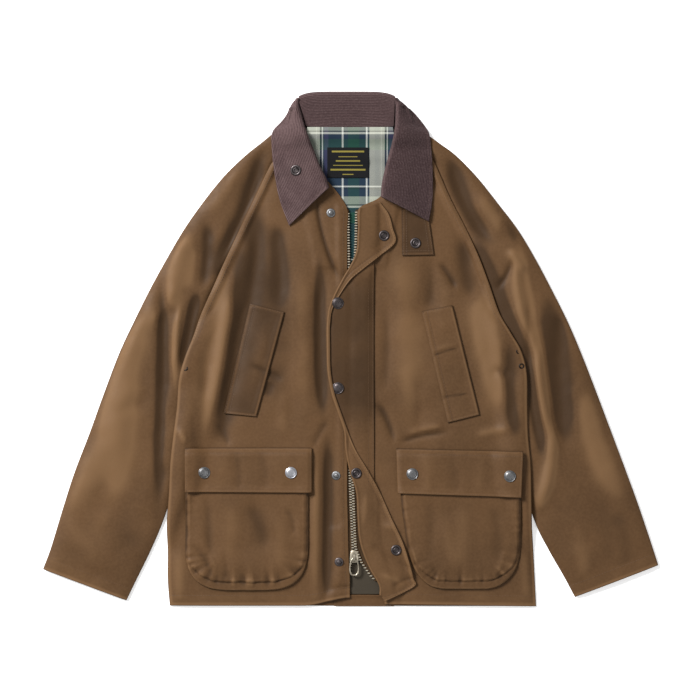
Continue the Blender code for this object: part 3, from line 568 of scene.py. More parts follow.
def plainCloth(name, color, threads, weave, roughness=0.85, specular=0.15):
    made, tree, shader = newFinish(name, roughness, specular)
    pattern = group(tree, weave, {"Threads": threads})
    shade = mixed(tree, pattern.outputs[0], deeper(color), color)
    tree.links.new(shade, shader.inputs["Base Color"])
    bumpFrom(tree, shader, pattern.outputs[0], 0.4, 0.0003)
    return made


labelLook = {
    # each rule is how far down the label it is, half its length and half its thickness, in metres
    "rules": ((0.0050, 0.008, 0.0005), (0.0120, 0.026, 0.0011), (0.0185, 0.022, 0.0004),
              (0.0250, 0.018, 0.0009), (0.0312, 0.014, 0.0004), (0.0390, 0.024, 0.0011)),
    "softEdge": 0.0004,
    "ground": (0.008, 0.008, 0.009, 1),
    "thread": (0.20, 0.165, 0.035, 1),
}


def labelFinish(name, look, weave):
    # black satin with plain woven rules of different lengths
    made, tree, shader = newFinish(name, 0.75, 0.08)
    place = node(tree, "UVMap", uv_map="cloth")
    parts = node(tree, "SeparateXYZ", {0: place.outputs[0]})
    u = maths(tree, "ABSOLUTE", parts.outputs[0])
    lines = 0.0
    for middle, half, thick in look["rules"]:
        away = maths(tree, "ABSOLUTE", maths(tree, "SUBTRACT", parts.outputs[1], middle))
        across = ramp(tree, away, (thick, thick + look["softEdge"], 1.0, 0.0))
        reach = ramp(tree, u, (half, half + look["softEdge"], 1.0, 0.0))
        lines = maths(tree, "MAXIMUM", lines, maths(tree, "MULTIPLY", across, reach))
    threads = group(tree, weave, {"Threads": 9000.0})
    tree.links.new(mixed(tree, lines, look["ground"], look["thread"]), shader.inputs["Base Color"])
    bumpFrom(tree, shader, maths(tree, "ADD", threads.outputs[0], lines), 0.3, 0.0003)
    return made


def metalFinish(name, color, deep, roughness):
    # metal with a cloudy tarnish, darker and rougher where it is thick
    made, tree, shader = newFinish(name, roughness, 0.5, 1.0)
    tarnish = objectNoise(tree, 520.0, 4.0)
    share = ramp(tree, tarnish, (0.35, 0.7, 0.0, 1.0))
    tree.links.new(mixed(tree, share, color, deep), shader.inputs["Base Color"])
    rough = ramp(tree, tarnish, (0.3, 0.7, roughness - 0.06, roughness + 0.14))
    tree.links.new(rough, shader.inputs["Roughness"])
    bumpFrom(tree, shader, tarnish, 0.15, 0.0001)
    return made


def threadFinish(name, color):
    made, tree, shader = newFinish(name, 0.6, 0.3)
    ply = objectNoise(tree, 900.0, 2.0)
    tree.links.new(mixed(tree, ply, color, deeper(color)), shader.inputs["Base Color"])
    return made


weave, mottleAndShade = weaveGroup(), mottleAndShadeGroup()
finishes = {
    "waxed": waxedFinish("waxedCotton", waxLook, weave, mottleAndShade),
    "corduroy": corduroyFinish("collarCorduroy", cordLook, mottleAndShade, 0),
    "standCorduroy": corduroyFinish("standCorduroy", cordLook, mottleAndShade, 1),
    "check": checkFinish("checkLining", checkLook),
    # plain dark cloth whose darkness is painted shade inside the hem opening
    "liningInPaintedShade": plainCloth("liningInPaintedShade", (0.050, 0.040, 0.028, 1), 5200.0, weave),
    "label": labelFinish("plainLabel", labelLook, weave),
    "tape": plainCloth("zipTape", (0.060, 0.034, 0.016, 1), 7800.0, weave),
    "pewter": metalFinish("pewter", (0.23, 0.23, 0.235, 1), (0.10, 0.10, 0.10, 1), 0.40),
    "darkPewter": metalFinish("darkPewter", (0.105, 0.09, 0.09, 1), (0.045, 0.038, 0.038, 1), 0.42),
    # the same pewter painted much brighter, as a painted reflection of the lamp on one cap
    "pewterPaintedGlint": metalFinish("pewterPaintedGlint", (0.58, 0.59, 0.63, 1), (0.36, 0.36, 0.39, 1), 0.34),
    "brass": metalFinish("antiqueBrass", (0.60, 0.54, 0.43, 1), (0.26, 0.22, 0.16, 1), 0.34),
    "eyelet": metalFinish("blackenedBrass", (0.030, 0.024, 0.020, 1), (0.012, 0.010, 0.009, 1), 0.5),
    "zipMetal": metalFinish("zipTeeth", (0.86, 0.80, 0.66, 1), (0.58, 0.51, 0.38, 1), 0.34),
    "thread": threadFinish("seamThread", (0.115, 0.060, 0.028, 1)),
    "collarThread": threadFinish("collarThread", (0.10, 0.058, 0.052, 1)),
}
print("materials made:", len(finishes))

# sleeves, each one sheet folded round its outer edge
sleeves = {
    "right": {
        # cuff to neck: the folded outer edge and the inner edge, each as x outward and y
        "rows": (
            (460, -328, 335, -375), (448, -296, 322, -348), (431, -240, 299, -301), (413, -184, 280, -256),
            (390, -124, 262, -200), (368, -63, 248, -140), (345, -3, 239, -85), (322, 46, 238, -35),
            (298, 94, 234, 10), (272, 141, 222, 50), (247, 183, 205, 88), (218, 224, 184, 135),
            (188, 261, 163, 180), (157, 291, 142, 224), (132, 311, 124, 262), (114, 325, 113, 281),
            (98, 329, 97, 292),
        ),
        # x0, y0, x1, y1, width, height, bow, power
        "folds": (
            (-280, 118, -287, -240, 9, -4.0, 4, 1.9), (-318, 80, -345, -200, 22, 3.0, -8, 2.0),
            (-254, 66, -261, -34, 4.5, 3.0, -2, 1.7), (-230, 84, -250, -20, 8, -3.0, 0, 2.0),
            (-132, 300, -196, 130, 12, -3.6, 8, 1.8), (-214, 190, -222, 92, 10, -3.0, 4, 1.8),
            (-242, 175, -266, 66, 14, 3.2, -6, 1.9), (-276, -60, -283, -190, 7, 2.2, 2, 1.7),
            (-345, -60, -420, -240, 20, 1.6, 10, 2.0), (-372, -190, -330, -320, 22, -0.8, 8, 2.0),
            (-262, 92, -300, 40, 9, 1.2, 4, 1.6), (-168, 280, -210, 205, 12, 1.4, 3, 2.0),
            (-430, -250, -372, -330, 14, 0.9, 4, 2.0), (-300, -60, -352, -96, 12, -0.9, 5, 1.8),
        ),
    },
    "left": {
        "rows": (
            (462, -322, 337, -370), (450, -285, 321, -340), (431, -229, 298, -300), (412, -177, 279, -262),
            (391, -121, 260, -205), (368, -60, 247, -140), (347, -6, 240, -85), (326, 43, 238, -35),
            (302, 91, 232, 12), (277, 138, 221, 55), (251, 181, 207, 95), (222, 219, 190, 140),
            (191, 258, 170, 183), (159, 291, 148, 226), (135, 309, 132, 262), (116, 322, 120, 285),
            (100, 328, 99, 296),
        ),
        "folds": (
            (150, 288, 212, 160, 13, -3.8, -8, 1.8), (243, 134, 220, 92, 5, -2.4, 3, 1.5),
            (238, 150, 262, 118, 7, 2.6, 0, 1.6), (320, 85, 320, -140, 14, -3.6, -7, 1.9),
            (247, 135, 281, -10, 8, 3.4, -8, 1.6), (281, 5, 301, -130, 8, 4.2, -6, 1.6),
            (301, -115, 283, -236, 9, 3.8, 7, 1.7), (376, -195, 388, -345, 17, -1.0, 5, 2.0),
            (345, -60, 405, -225, 22, 1.8, -8, 2.0), (190, 235, 236, 175, 15, 1.6, -4, 2.0),
            (300, 60, 345, 12, 13, 1.1, 4, 1.8), (335, -250, 350, -345, 15, 1.3, 4, 2.0),
            (266, 62, 284, -150, 6, -2.2, -5, 1.6),
        ),
    },
    # painted shade and highlight, with a fold's numbers: above nothing is painted paler and below it is
    # painted darker
    "tones": {
        "right": ((-283, 70, -289, -190, 6, -1.3, 2, 1.8), (-230, 84, -253, -28, 7.5, -1.9, 0, 2.2),
                  (-168, 190, -204, 108, 9, -1.3, 2, 1.8), (-236, 152, -245, 92, 10, 0.8, 0, 1.8),
                  (-262, 40, -262, -60, 4, 0.9, 0, 1.8), (-322, 60, -350, -230, 18, 0.7, -8, 2.0),
                  (-345, -120, -380, -290, 16, 0.4, 6, 2.0),
                  (-310, 90, -420, -300, 60, 0.25, 0, 2.4)),
        "left": ((188, 160, 262, -8, 12, -2.4, -3, 2.0), (268, -12, 290, -160, 7, -1.7, 0, 1.9),
                 (252, 160, 302, -125, 6, 0.8, 4, 1.8), (290, 76, 336, -130, 14, -1.2, -3, 1.9),
                 (304, -130, 286, -232, 8, 0.6, 5, 1.8), (352, -60, 398, -240, 16, 0.35, -6, 2.0),
                 (400, -240, 412, -330, 12, -0.4, 4, 1.9), (226, 196, 250, 160, 9, -0.7, 2, 1.8)),
    },
    "turn": 2.3,  # radius of the folded outer edge
    "loft": 4.4,
    "crease": 1.3,  # how much the folds above are raised
    "rumple": ((46, 0.7), (17, 0.35)),
    "underFront": 1.4,  # how far the inner edge drops to go under the front
    "hem": {"band": 20, "stitch": 18.5, "rise": 0.35, "wave": 0.3},
    "flat": (0.28, 0.78),
    "area": 0.158,
}


def sleeveGrid(rows, side, folds, tones, seed):
    # the upper layer runs from the inner edge to the outer one, turns round it in a half circle and
    # comes back below; its height is a loft that swells away from both edges, with the folds on it
    rows = evenly(rows, 3.4)
    outer, inner = rows[:, 0:2] * (side, 1), rows[:, 2:4] * (side, 1)
    width = np.linalg.norm(outer - inner, axis=1, keepdims=True)
    outward = (outer - inner) / width
    turn, low = sleeves["turn"], clothWall["waxed"] / 2
    centre = outer - outward * (turn + low)
    upper = ruled(inner, centre, shares(110, 3.3))
    fromInner, fromOuter, fromCuff, _ = distances(upper)
    swell = (1 - np.exp(-fromInner / 20)) * (1 - np.exp(-(fromOuter + 2) / 9)) * ease(width / 90)
    swell = swell * (0.45 + 0.55 * ease(fromCuff / 60))
    creases = sleeves["crease"] * folded(upper, folds) + rumpled(upper, sleeves["rumple"], seed)
    creases = creases * ease(fromInner / 12) * ease((fromOuter + 3) / 16) * ease(width / 60)
    hem = turnedHem(upper, fromCuff, sleeves["hem"], seed + 2)
    lap = sleeves["underFront"] * (1 - ease(fromInner / 12)) + 0.5 * np.exp(-fromInner / 4)
    z = low + 2 * turn + sleeves["loft"] * swell + creases + hem - lap
    z = np.maximum(z, low + clothWall["waxed"] + 0.4)
    turnHeight = (z[:, -1:] - low) / 2
    roundPlan = centre[:, None] + outward[:, None] * (turn * np.cos(halfTurn))[None, :, None]
    roundZ = low + turnHeight - turnHeight * np.sin(halfTurn)[None, :]
    lower = ruled(centre, inner, shares(110, 8))
    lowerZ = np.full(lower.shape[:2], low)
    plan = np.concatenate([upper, roundPlan, lower], axis=1)
    heights = np.concatenate([z, roundZ, lowerZ], axis=1)
    # painted shade: fold ridges and the hem band paler, troughs and stitch furrows darker, the painted tones,
    # and an edge line at the cuff
    shade = creases * 0.3 + folded(upper, tones) + hem * 0.6 + edgeWearAndShade(fromCuff, 0.8, 0.6)
    below = np.zeros((len(shade), roundZ.shape[1] + lowerZ.shape[1]))
    return np.dstack([plan, heights]), np.hstack([shade, below]), upper.shape[1]


for sideName, side, seed in (("right", -1, 11), ("left", 1, 23)):
    shape = sleeves[sideName]
    tones = sleeves["tones"][sideName]
    grid, relief, upperColumns = sleeveGrid(shape["rows"], side, shape["folds"], tones, seed)
    cuff = grid[:, :upperColumns]
    if side > 0:
        grid, relief = grid[:, ::-1], relief[:, ::-1]
    laySheet("sleeve_" + sideName, grid, "waxed", "waxed", relief)
    stitchPath("sleeveStitches", alongRow(cuff, sleeves["hem"]["stitch"], 0.02, 0.99))
print("sleeves laid")

# collar behind the neck
collarBack = {"topY": 387.0, "topHalf": 72.0, "topX": -4.5, "necklineY": 333.0, "necklineHalf": 66.0,
              "fallEdgeY": 302.0, "fallEdgeHalf": 93.0, "roll": 5.4, "standLift": 5.2, "standHeight": 46,
              "stitches": (13.0, 17.0), "cornerDrop": 7.0, "flat": (0.20, 0.15), "area": 0.022}


def collarBackGrid(size):
    # a C-shaped section carried across: the fall lies below, turns round the top edge in a half
    # circle and comes back as the stand, which dips towards the neckline
    across = (shares(144, 3.0) * 2 - 1)[None, :]
    down = shares(80, 3.0)[:, None]
    low = clothWall["cord"] / 2
    turnY = size["topY"] - size["roll"] - low - size["cornerDrop"] * np.abs(across) ** 6
    topX = size["topX"] + size["topHalf"] * across
    fallX = size["fallEdgeHalf"] * across * (1 - down) + topX * down
    fallY = size["fallEdgeY"] + (turnY - size["fallEdgeY"]) * down
    fallZ = low + 0 * fallX
    angles = halfTurn[:, None]
    roundX = topX + 0 * angles
    roundY = turnY + size["roll"] * np.cos(angles)
    roundZ = low + size["roll"] + size["roll"] * np.sin(angles) + 0 * across
    neckY = size["necklineY"] - 2.5 + 4.0 * across**2
    standX = topX * (1 - down) + size["necklineHalf"] * across * down
    standY = turnY + (neckY - turnY) * down
    dip = size["standLift"] * ease(down / 0.85) * (1 - 0.35 * across**2)
    standZ = low + 2 * size["roll"] - dip + 0.5 * wander(standX, standY, 26, 5) * np.sin(np.pi * down)
    standZ += sum(groove(down * size["standHeight"], place, 0.8, 0.35) for place in size["stitches"])
    grid = np.dstack([
        np.concatenate([fallX, roundX, standX]),
        np.concatenate([fallY, roundY, standY]),
        np.concatenate([fallZ, roundZ, standZ]),
    ])
    # a random tone on the stand, and painted shade darker towards the neckline under the leaves
    relief = np.concatenate([0 * fallX, 0 * roundX, 0.25 * wander(standX, standY, 14, 6) - 0.25 * ease(down)])
    return grid, relief


grid, relief = collarBackGrid(collarBack)
laySheet("collar_back", grid[::-1], "cord", "standCorduroy",
         relief[::-1])

# body panels
body = {
    "firstSeamRow": 9,  # the sleeve row from which the body meets the sleeve
    "sideRight": ((-270, -383), (-273, -345), (-273, -305), (-274, -260), (-271, -215), (-269, -170),
                  (-264, -125), (-259, -85), (-256, -45), (-247, -12), (-234, 22)),
    "sideLeft": ((279, -384), (277, -345), (275, -305), (272, -260), (271, -215), (270, -170),
                 (266, -125), (265, -80), (264, -35), (256, -2), (240, 26)),
    "centreRight": ((0, -383), (0, -345), (-2, -305), (-3, -260), (-4, -215), (-4, -170), (-4, -125),
                    (-4, -85), (-4, -45), (-4, -12), (-4, 22), (-4, 55), (-4, 95), (-4, 140), (-4, 180),
                    (-4, 211), (-23, 241), (-49, 266), (-82, 285)),
    "centreLeft": ((52, -381), (46, -348), (24, -309), (13, -262), (12, -215), (11, -170), (11, -125),
                   (11, -80), (11, -35), (11, -2), (11, 27), (11, 58), (11, 97), (12, 142), (12, 182),
                   (13, 211), (45, 229), (70, 267), (90, 287)),
    "backNeck": ((-81, 316, 82, 318), (-67, 330, 67, 330)),
    "hemLift": 12.0,
    "lap": 2.0,  # how far a front overlaps the sleeve along the raglan seam
    "loft": 4.8,
    "crease": 1.35,
    "rumple": ((52, 0.7), (19, 0.38)),
    "seamStitches": (2.2, 8.2),
    "placketStitch": 6.5,
    "hem": {"band": 17, "stitch": 15.6, "rise": 0.3, "wave": 0.22},
    "frontFlat": (0.29, 0.70),
    "frontArea": 0.149,
    "backFlat": (0.57, 0.72),
    "backArea": 0.321,
    "onSleeve": (25, 292),  # the back lies level between these heights, beside the sleeves
    "rightFolds": (
        (-134, 205, -196, -132, 14, -4.6, 6, 1.9), (-178, 110, -216, -128, 13, 4.2, 4, 1.8),
        (-112, 185, -106, 66, 12, -2.6, 4, 1.8), (-43, 112, -41, -90, 9, -4.0, -3, 1.7),
        (-78, 130, -72, -120, 17, 1.6, 3, 2.0), (-146, -28, -102, -44, 5, -2.0, 2, 1.5),
        (-262, -117, -246, -140, 4, 1.8, 3, 1.5), (-118, -48, -124, -70, 6, -1.2, 0, 1.6),
        (-197, -110, -181, -145, 5, -1.3, 2, 1.5), (-56, -148, -33, -105, 5, -1.5, 2, 1.5),
        (-33, -130, -36, -378, 8, -3.0, 2, 1.7), (-50, -160, -52, -372, 8, 2.0, 0, 1.8),
        (-236, 62, -252, -28, 8, -1.6, 4, 1.7), (-50, 222, -18, 110, 3.4, -3.0, -5, 1.3),
        (-152, 168, -160, 60, 12, 1.8, 3, 1.9), (-232, -60, -236, -150, 8, -1.2, 2, 1.8),
        (-100, -130, -96, -60, 10, 1.0, 2, 1.8), (-255, -300, -254, -375, 9, 1.2, 0, 1.8),
        (-22, 90, -24, -60, 8, 1.4, 0, 1.8), (-190, 120, -205, 60, 9, 1.1, 2, 1.8),
    ),
    "leftFolds": (
        (134, 130, 158, 92, 5, -2.4, 2, 1.6), (76, -137, 146, -123, 4, -2.4, 3, 1.4),
        (84, -127, 140, -114, 5, 1.6, 2, 1.5), (42, -80, 66, -138, 5, -2.4, 3, 1.6),
        (74, 150, 88, -90, 20, 2.4, 4, 2.0), (196, 90, 226, -80, 18, 2.8, -5, 2.0),
        (122, 140, 116, 60, 12, -1.8, 3, 1.9), (170, 170, 186, 70, 14, -2.2, -4, 1.9),
        (238, 20, 246, -130, 11, -2.8, -3, 1.8), (190, -128, 240, -118, 6, 1.4, 2, 1.7),
        (214, -28, 236, -40, 7, -1.5, 2, 1.7), (150, -12, 178, -22, 6, -1.0, 2, 1.7),
        (55, 60, 52, -60, 9, -1.3, 2, 1.8), (150, 30, 140, 70, 10, 1.0, 2, 1.8),
        (98, -30, 104, -125, 9, -1.0, 2, 1.8), (262, -300, 264, -376, 9, 1.3, 0, 1.8),
    ),
    # painted shade and highlight along lines, with a fold's numbers: above nothing is painted paler and below
    # it darker
    "rightTones": ((-160, 130, -213, -140, 10, -1.0, 3, 1.9), (-200, 80, -243, -115, 10, 0.5, 2, 1.9),
                   (-46, 140, -41, -95, 6, -1.1, -2, 1.8), (-150, 230, -176, 60, 14, -0.8, 3, 1.9),
                   (-110, 190, -102, 70, 12, -0.5, 3, 1.9), (-36, -140, -38, -360, 6, -0.6, 1, 1.8),
                   (-125, 140, -135, -110, 60, -0.55, 0, 2.4)),
    "leftTones": ((120, 150, 140, 70, 12, 0.45, 3, 1.9), (70, 150, 84, -90, 16, -0.35, 4, 2.0),
                  (196, 60, 240, -110, 22, 0.35, -4, 2.0), (28, 60, 30, -140, 10, -0.5, 0, 2.0),
                  (232, -30, 250, -130, 8, -0.7, -2, 1.8), (90, -20, 104, -120, 14, 0.35, 2, 1.9)),
    "backFolds": (
        (-120, 200, -150, -60, 24, -1.6, 8, 2.0), (60, 180, 90, -120, 26, -1.5, -8, 2.0),
        (-60, -80, -80, -300, 22, 1.4, 6, 2.0), (130, 60, 150, -220, 22, 1.5, 6, 2.0),
        (0, 260, 6, 60, 20, 1.2, 2, 2.0),
    ),
}


def raglanEdge(side, steps, away):
    rows = through(sleeves["left" if side > 0 else "right"]["rows"], steps)[body["firstSeamRow"] * steps:]
    return np.column_stack([side * (rows[:, 2] + away), rows[:, 3] + away * 0.5])


def bodyRows(side, inner, away):
    # one row for each side row, then one for each raglan row, as outer x, outer y, inner x, inner y
    sideEdge = np.asarray(body["sideLeft" if side > 0 else "sideRight"], float)
    outer = np.vstack([sideEdge, raglanEdge(side, 1, away)])
    return np.column_stack([outer, inner[: len(outer)]])


noInner = np.zeros((19, 2))
backSides = [bodyRows(side, noInner, -0.6)[:, :2] for side in (-1, 1)]
back = evenly(np.vstack([np.column_stack(backSides), body["backNeck"]]), 4.4)
plan = ruled(back[:, :2], back[:, 2:], shares(520, 4.6))
fromRight, fromLeft, _, _ = distances(plan)
# the back lies flat, except where its sides lie on the sleeves and its neck on the collar's fall
fromArmpit, belowNeck = plan[..., 1] - body["onSleeve"][0], body["onSleeve"][1] - plan[..., 1]
base = restOn(plan, 2, 8) * (1 - ease(fromArmpit / 40) * ease(belowNeck / 12))
creases = np.maximum(folded(plan, body["backFolds"]), 0) * ease(np.minimum(fromRight, fromLeft) / 40)
raised = base > 0.6
heights = np.where(raised, base + clothWall["gap"], 0.02) + clothWall["waxed"] / 2
heights = np.maximum(heights, base + clothWall["waxed"] / 2 + 0.02) + creases * ease((2.5 - base) / 2)
# the ridges of its folds are painted paler, as highlight
laySheet("back_panel", np.dstack([plan, heights]), "waxed", "waxed",
         creases * 0.2)
print("back laid")

# lining, label, hem pieces and zip tapes
inside = {
    "liningRows": ((-64, 333, 64, 333), (-70, 300, 70, 300), (-70, 262, 70, 262), (-66, 220, 66, 220),
                   (-54, 175, 56, 175), (-46, 130, 48, 130)),
    "label": ((-34, 303), (28, 303), (28, 258), (-34, 258)),
    "hemLining": ((-24, -272), (66, -272), (66, -366), (-24, -366)),
    "hemFacing": ((-24, -367), (66, -367), (66, -384), (-24, -384)),
    # zip tapes, neck to hem: y, then the toothed edge of the right and of the left tape
    "tapeRows": ((210, -1.5, 8.5), (165, -1.0, 7.5), (120, 0.0, 5.5), (75, 1.5, 3.5), (0, 1.5, 3.0),
                 (-75, 1.0, 2.5), (-150, 1.0, 2.5), (-205, 1.5, 3.0), (-250, 3.5, 5.0), (-296, 5.5, 7.0),
                 (-318, 2.5, 16.0), (-334, -1.0, 27.0), (-346, -3.0, 37.0)),
    "tapeWidth": 12.0,
    "liningWaves": ((30, 0.5), (12, 0.25)),
    "liningRise": 0.8,
    "tapeRise": 1.2,
    "patchRise": 0.35,
}

rows = evenly(inside["liningRows"], 4)
plan = ruled(rows[:, 2:], rows[:, :2], shares(130, 4))[:, ::-1]
z = lieOn(plan, 1, 6, "light") + inside["liningRise"] + rumpled(plan, inside["liningWaves"], 41)
laySheet("neck_lining", np.dstack([plan, z])[::-1], "light", "check")
patches = (
    ("neck_label", "label", "label", inside["label"], (0.062, 0.045), "neckLining"),
    # the hem lining is plain dark cloth, darkened as painted shade inside the hem opening
    ("hem_lining", "liningInPaintedShade", "dark_lining", inside["hemLining"], (0.09, 0.094), "backPanel"),
    ("back_hem_facing", "waxed", "waxed_cotton", inside["hemFacing"], (0.09, 0.017), "backPanel"),
)
for nodeName, finish, slotName, corners, flat, under in patches:
    plan = fourCorners(corners, 3)[::-1]
    z = lieOn(plan, 1, 2, "light") + inside["patchRise"] + rumpled(plan, ((16, 0.35),), 51)
    laySheet(nodeName, np.dstack([plan, z]), "light", finish)
for sideName, column, side in (("right", 1, -1), ("left", 2, 1)):
    tape = np.asarray(inside["tapeRows"], float)
    edge = np.column_stack([tape[:, column], tape[:, 0]])
    rows = evenly(np.column_stack([edge, edge + (side * inside["tapeWidth"], 0)]), 4)
    first, second = (rows[:, 2:], rows[:, :2]) if side < 0 else (rows[:, :2], rows[:, 2:])
    plan = ruled(first, second, shares(inside["tapeWidth"], 2))[::-1]
    z = lieOn(plan, 2, 6, "light") + inside["tapeRise"]
    laySheet("zip_tape_" + sideName, np.dstack([plan, z]), "light", "tape")
tapeMap = topMap.copy()
print("inside pieces laid")


def frontPanel(side):
    # ruled from the side and raglan edge to the centre edge; the height rests on what lies below, swells
    # away from the side, and carries the folds, the raglan seam and the hem band
    centre = np.asarray(body["centreLeft" if side > 0 else "centreRight"], float)
    rows = evenly(bodyRows(side, centre, body["lap"]), 3.8)
    plan = ruled(rows[:, :2], rows[:, 2:], shares(265, 3.8))
    if side < 0:
        plan[..., 1] += body["hemLift"] * ease((plan[..., 0] + 70) / 70) * ease((-335 - plan[..., 1]) / 48)
    if side > 0:
        plan = plan[:, ::-1]
    first, last, fromHem, _ = distances(plan)
    fromSide, fromCentre = (last, first) if side > 0 else (first, last)
    seed = 61 if side > 0 else 67
    folds = body["leftFolds" if side > 0 else "rightFolds"]
    creases = body["crease"] * folded(plan, folds) + rumpled(plan, body["rumple"], seed)
    creases = creases * ease((fromSide + 2) / 14) * ease((fromCentre + 6) / 14) * ease((fromHem + 8) / 26)
    swell = (1 - np.exp(-fromSide / 13)) * (0.08 + 0.92 * (1 - np.exp(-fromCentre / 15)))
    swell = swell * (0.55 + 0.45 * ease(fromHem / 60))
    onRaglan = ease((plan[..., 1] - 30) / 25)
    seam = seamed(plan, fromSide, body["seamStitches"], 9.0, seed + 2) * onRaglan
    hem = turnedHem(plan, fromHem, body["hem"], seed + 3)
    placket = groove(fromCentre, body["placketStitch"], 0.9, 0.25)
    z = lieOn(plan, 1, 5) + np.maximum(body["loft"] * swell + creases + seam + hem + placket, 0)
    z = z - (0.35 + 0.5 * onRaglan) * np.exp(-fromSide / 2.0)
    # painted shade and highlight: pale and dark lines at the edges, ridges, seam and hem band paler, troughs
    # darker, and the painted tones
    wearAndShade = edgeWearAndShade(fromHem) + edgeWearAndShade(fromSide, 1.1, 0.7) * (1 - 0.5 * onRaglan)
    wearAndShade += edgeWearAndShade(fromCentre, 0.5, 0.3)
    tones = folded(plan, body["leftTones" if side > 0 else "rightTones"])
    return np.dstack([plan, z]), creases * 0.3 + tones + seam * 0.5 + hem * 0.5 + wearAndShade


for sideName, side in (("right", -1), ("left", 1)):
    grid, relief = frontPanel(side)
    laySheet("front_" + sideName, grid, "waxed", "waxed",
             relief)
    for distance in body["seamStitches"]:
        stitchPath("bodyStitches", alongColumn(grid, distance, 0.56, 1.0, fromEnd=side > 0))
    stitchPath("bodyStitches", alongColumn(grid, body["placketStitch"], 0.0, 0.86, fromEnd=side < 0))
    stitchPath("bodyStitches", alongRow(grid, body["hem"]["stitch"]))
print("fronts laid")

# hand pockets and bellows pockets
pockets = {
    "welts": {"right": ((-150, 70), (-98, 57), (-140, -100), (-189, -95)),
              "left": ((107, 58), (153, 67), (194, -97), (146, -109))},
    "weltFolds": {"right": ((-148, -22, -112, -40, 4, -1.2, 1, 1.5), (-128, 40, -150, -60, 11, 0.8, 3, 1.8)),
                  "left": ((122, -9, 162, 3, 1.8, -3.2, 1, 1.5), (134, -73, 176, -65, 1.8, -3.2, 1, 1.5),
                           (124, -2, 162, 9, 4, 0.8, 1, 1.7), (140, -34, 160, -32, 4, -0.8, 1, 1.6))},
    # painted shadow along each edge of a welt, by edge, and the painted tone of its face, darker on the right
    # one as shade
    "weltEdges": {"right": {1: 0.5, 0: 0.3, 2: 0.2}, "left": {1: 1.8, 0: 0.8, 2: 0.9}},
    "weltTone": {"right": -0.75, "left": 0.1},
    # left and right edges of each bag from the top down: y, lower x, higher x
    "bagRight": ((-158, -246, -62), (-195, -246, -62), (-232, -246, -62), (-270, -246, -62),
                 (-307, -246, -63), (-332, -240, -69), (-348, -227, -82), (-357, -208, -101),
                 (-360, -185, -124)),
    "bagLeft": ((-160, 74, 256), (-195, 75, 256), (-232, 77, 255), (-270, 82, 255), (-300, 87, 255),
                (-325, 95, 249), (-343, 107, 237), (-354, 122, 221), (-358, 140, 205)),
    "flapRight": ((-246, -146), (-57, -146), (-57, -213), (-246, -212)),
    "flapLeft": ((69, -147), (258, -151), (255, -220), (71, -214)),
    "gussetSide": 4.0,
    "gussetBottom": 13.0,
    "faceRise": 3.4,
    "gather": 2.1,
    "turned": 7.5,  # how wide a patch's turned edge is
    "patchWaves": ((24, 0.22), (11, 0.14)),
    "bagFolds": {
        "right": ((-214, -215, -212, -330, 8, -1.7, 2, 1.7), (-152, -230, -128, -300, 15, -1.9, 5, 1.8),
                  (-176, -230, -184, -320, 15, 1.3, 3, 1.9), (-232, -292, -205, -338, 4, -1.4, 2, 1.4),
                  (-222, -285, -200, -330, 4, 1.2, 2, 1.4), (-188, -300, -186, -345, 4, -1.3, 2, 1.4),
                  (-96, -236, -84, -276, 6, -1.5, 4, 1.5), (-78, -250, -74, -300, 4, 1.1, 2, 1.5),
                  (-112, -240, -104, -330, 12, 1.2, 4, 1.9)),
        "left": ((120, -225, 118, -320, 10, -1.2, 2, 1.8), (168, -225, 160, -330, 14, 1.2, 4, 1.9),
                 (214, -230, 222, -320, 12, -1.5, 3, 1.8), (232, -300, 214, -340, 4, 1.1, 2, 1.4),
                 (140, -250, 150, -330, 9, 0.9, 3, 1.8), (120, -322, 132, -346, 4, -1.0, 1, 1.4)),
    },
    "flapFolds": {
        "right": ((-172, -150, -166, -212, 7, -1.3, 2, 1.7), (-134, -152, -126, -210, 8, -1.1, 2, 1.7),
                  (-190, -160, -200, -212, 12, 0.8, 2, 1.9), (-108, -160, -104, -208, 10, 0.7, 2, 1.9)),
        "left": ((150, -152, 156, -216, 9, -0.9, 2, 1.8), (196, -156, 190, -216, 9, 0.8, 2, 1.8),
                 (112, -156, 116, -214, 9, 0.8, 2, 1.8)),
    },
}


def nearOutline(plan, outline):
    # distance from each plan point to an open outline, and how far along the outline it is nearest
    start, step = outline[:-1], np.diff(outline, axis=0)
    length = np.linalg.norm(step, axis=1)
    run = np.concatenate([[0], np.cumsum(length)])[:-1]
    points = plan.reshape(-1, 1, 2)
    share = np.clip(((points - start) * step).sum(axis=2) / length**2, 0, 1)
    gap = np.linalg.norm(points - start - share[..., None] * step, axis=2)
    nearest = gap.argmin(axis=1)
    index = np.arange(len(nearest))
    place = run[nearest] + share[index, nearest] * length[nearest]
    return gap[index, nearest].reshape(plan.shape[:2]), place.reshape(plan.shape[:2])


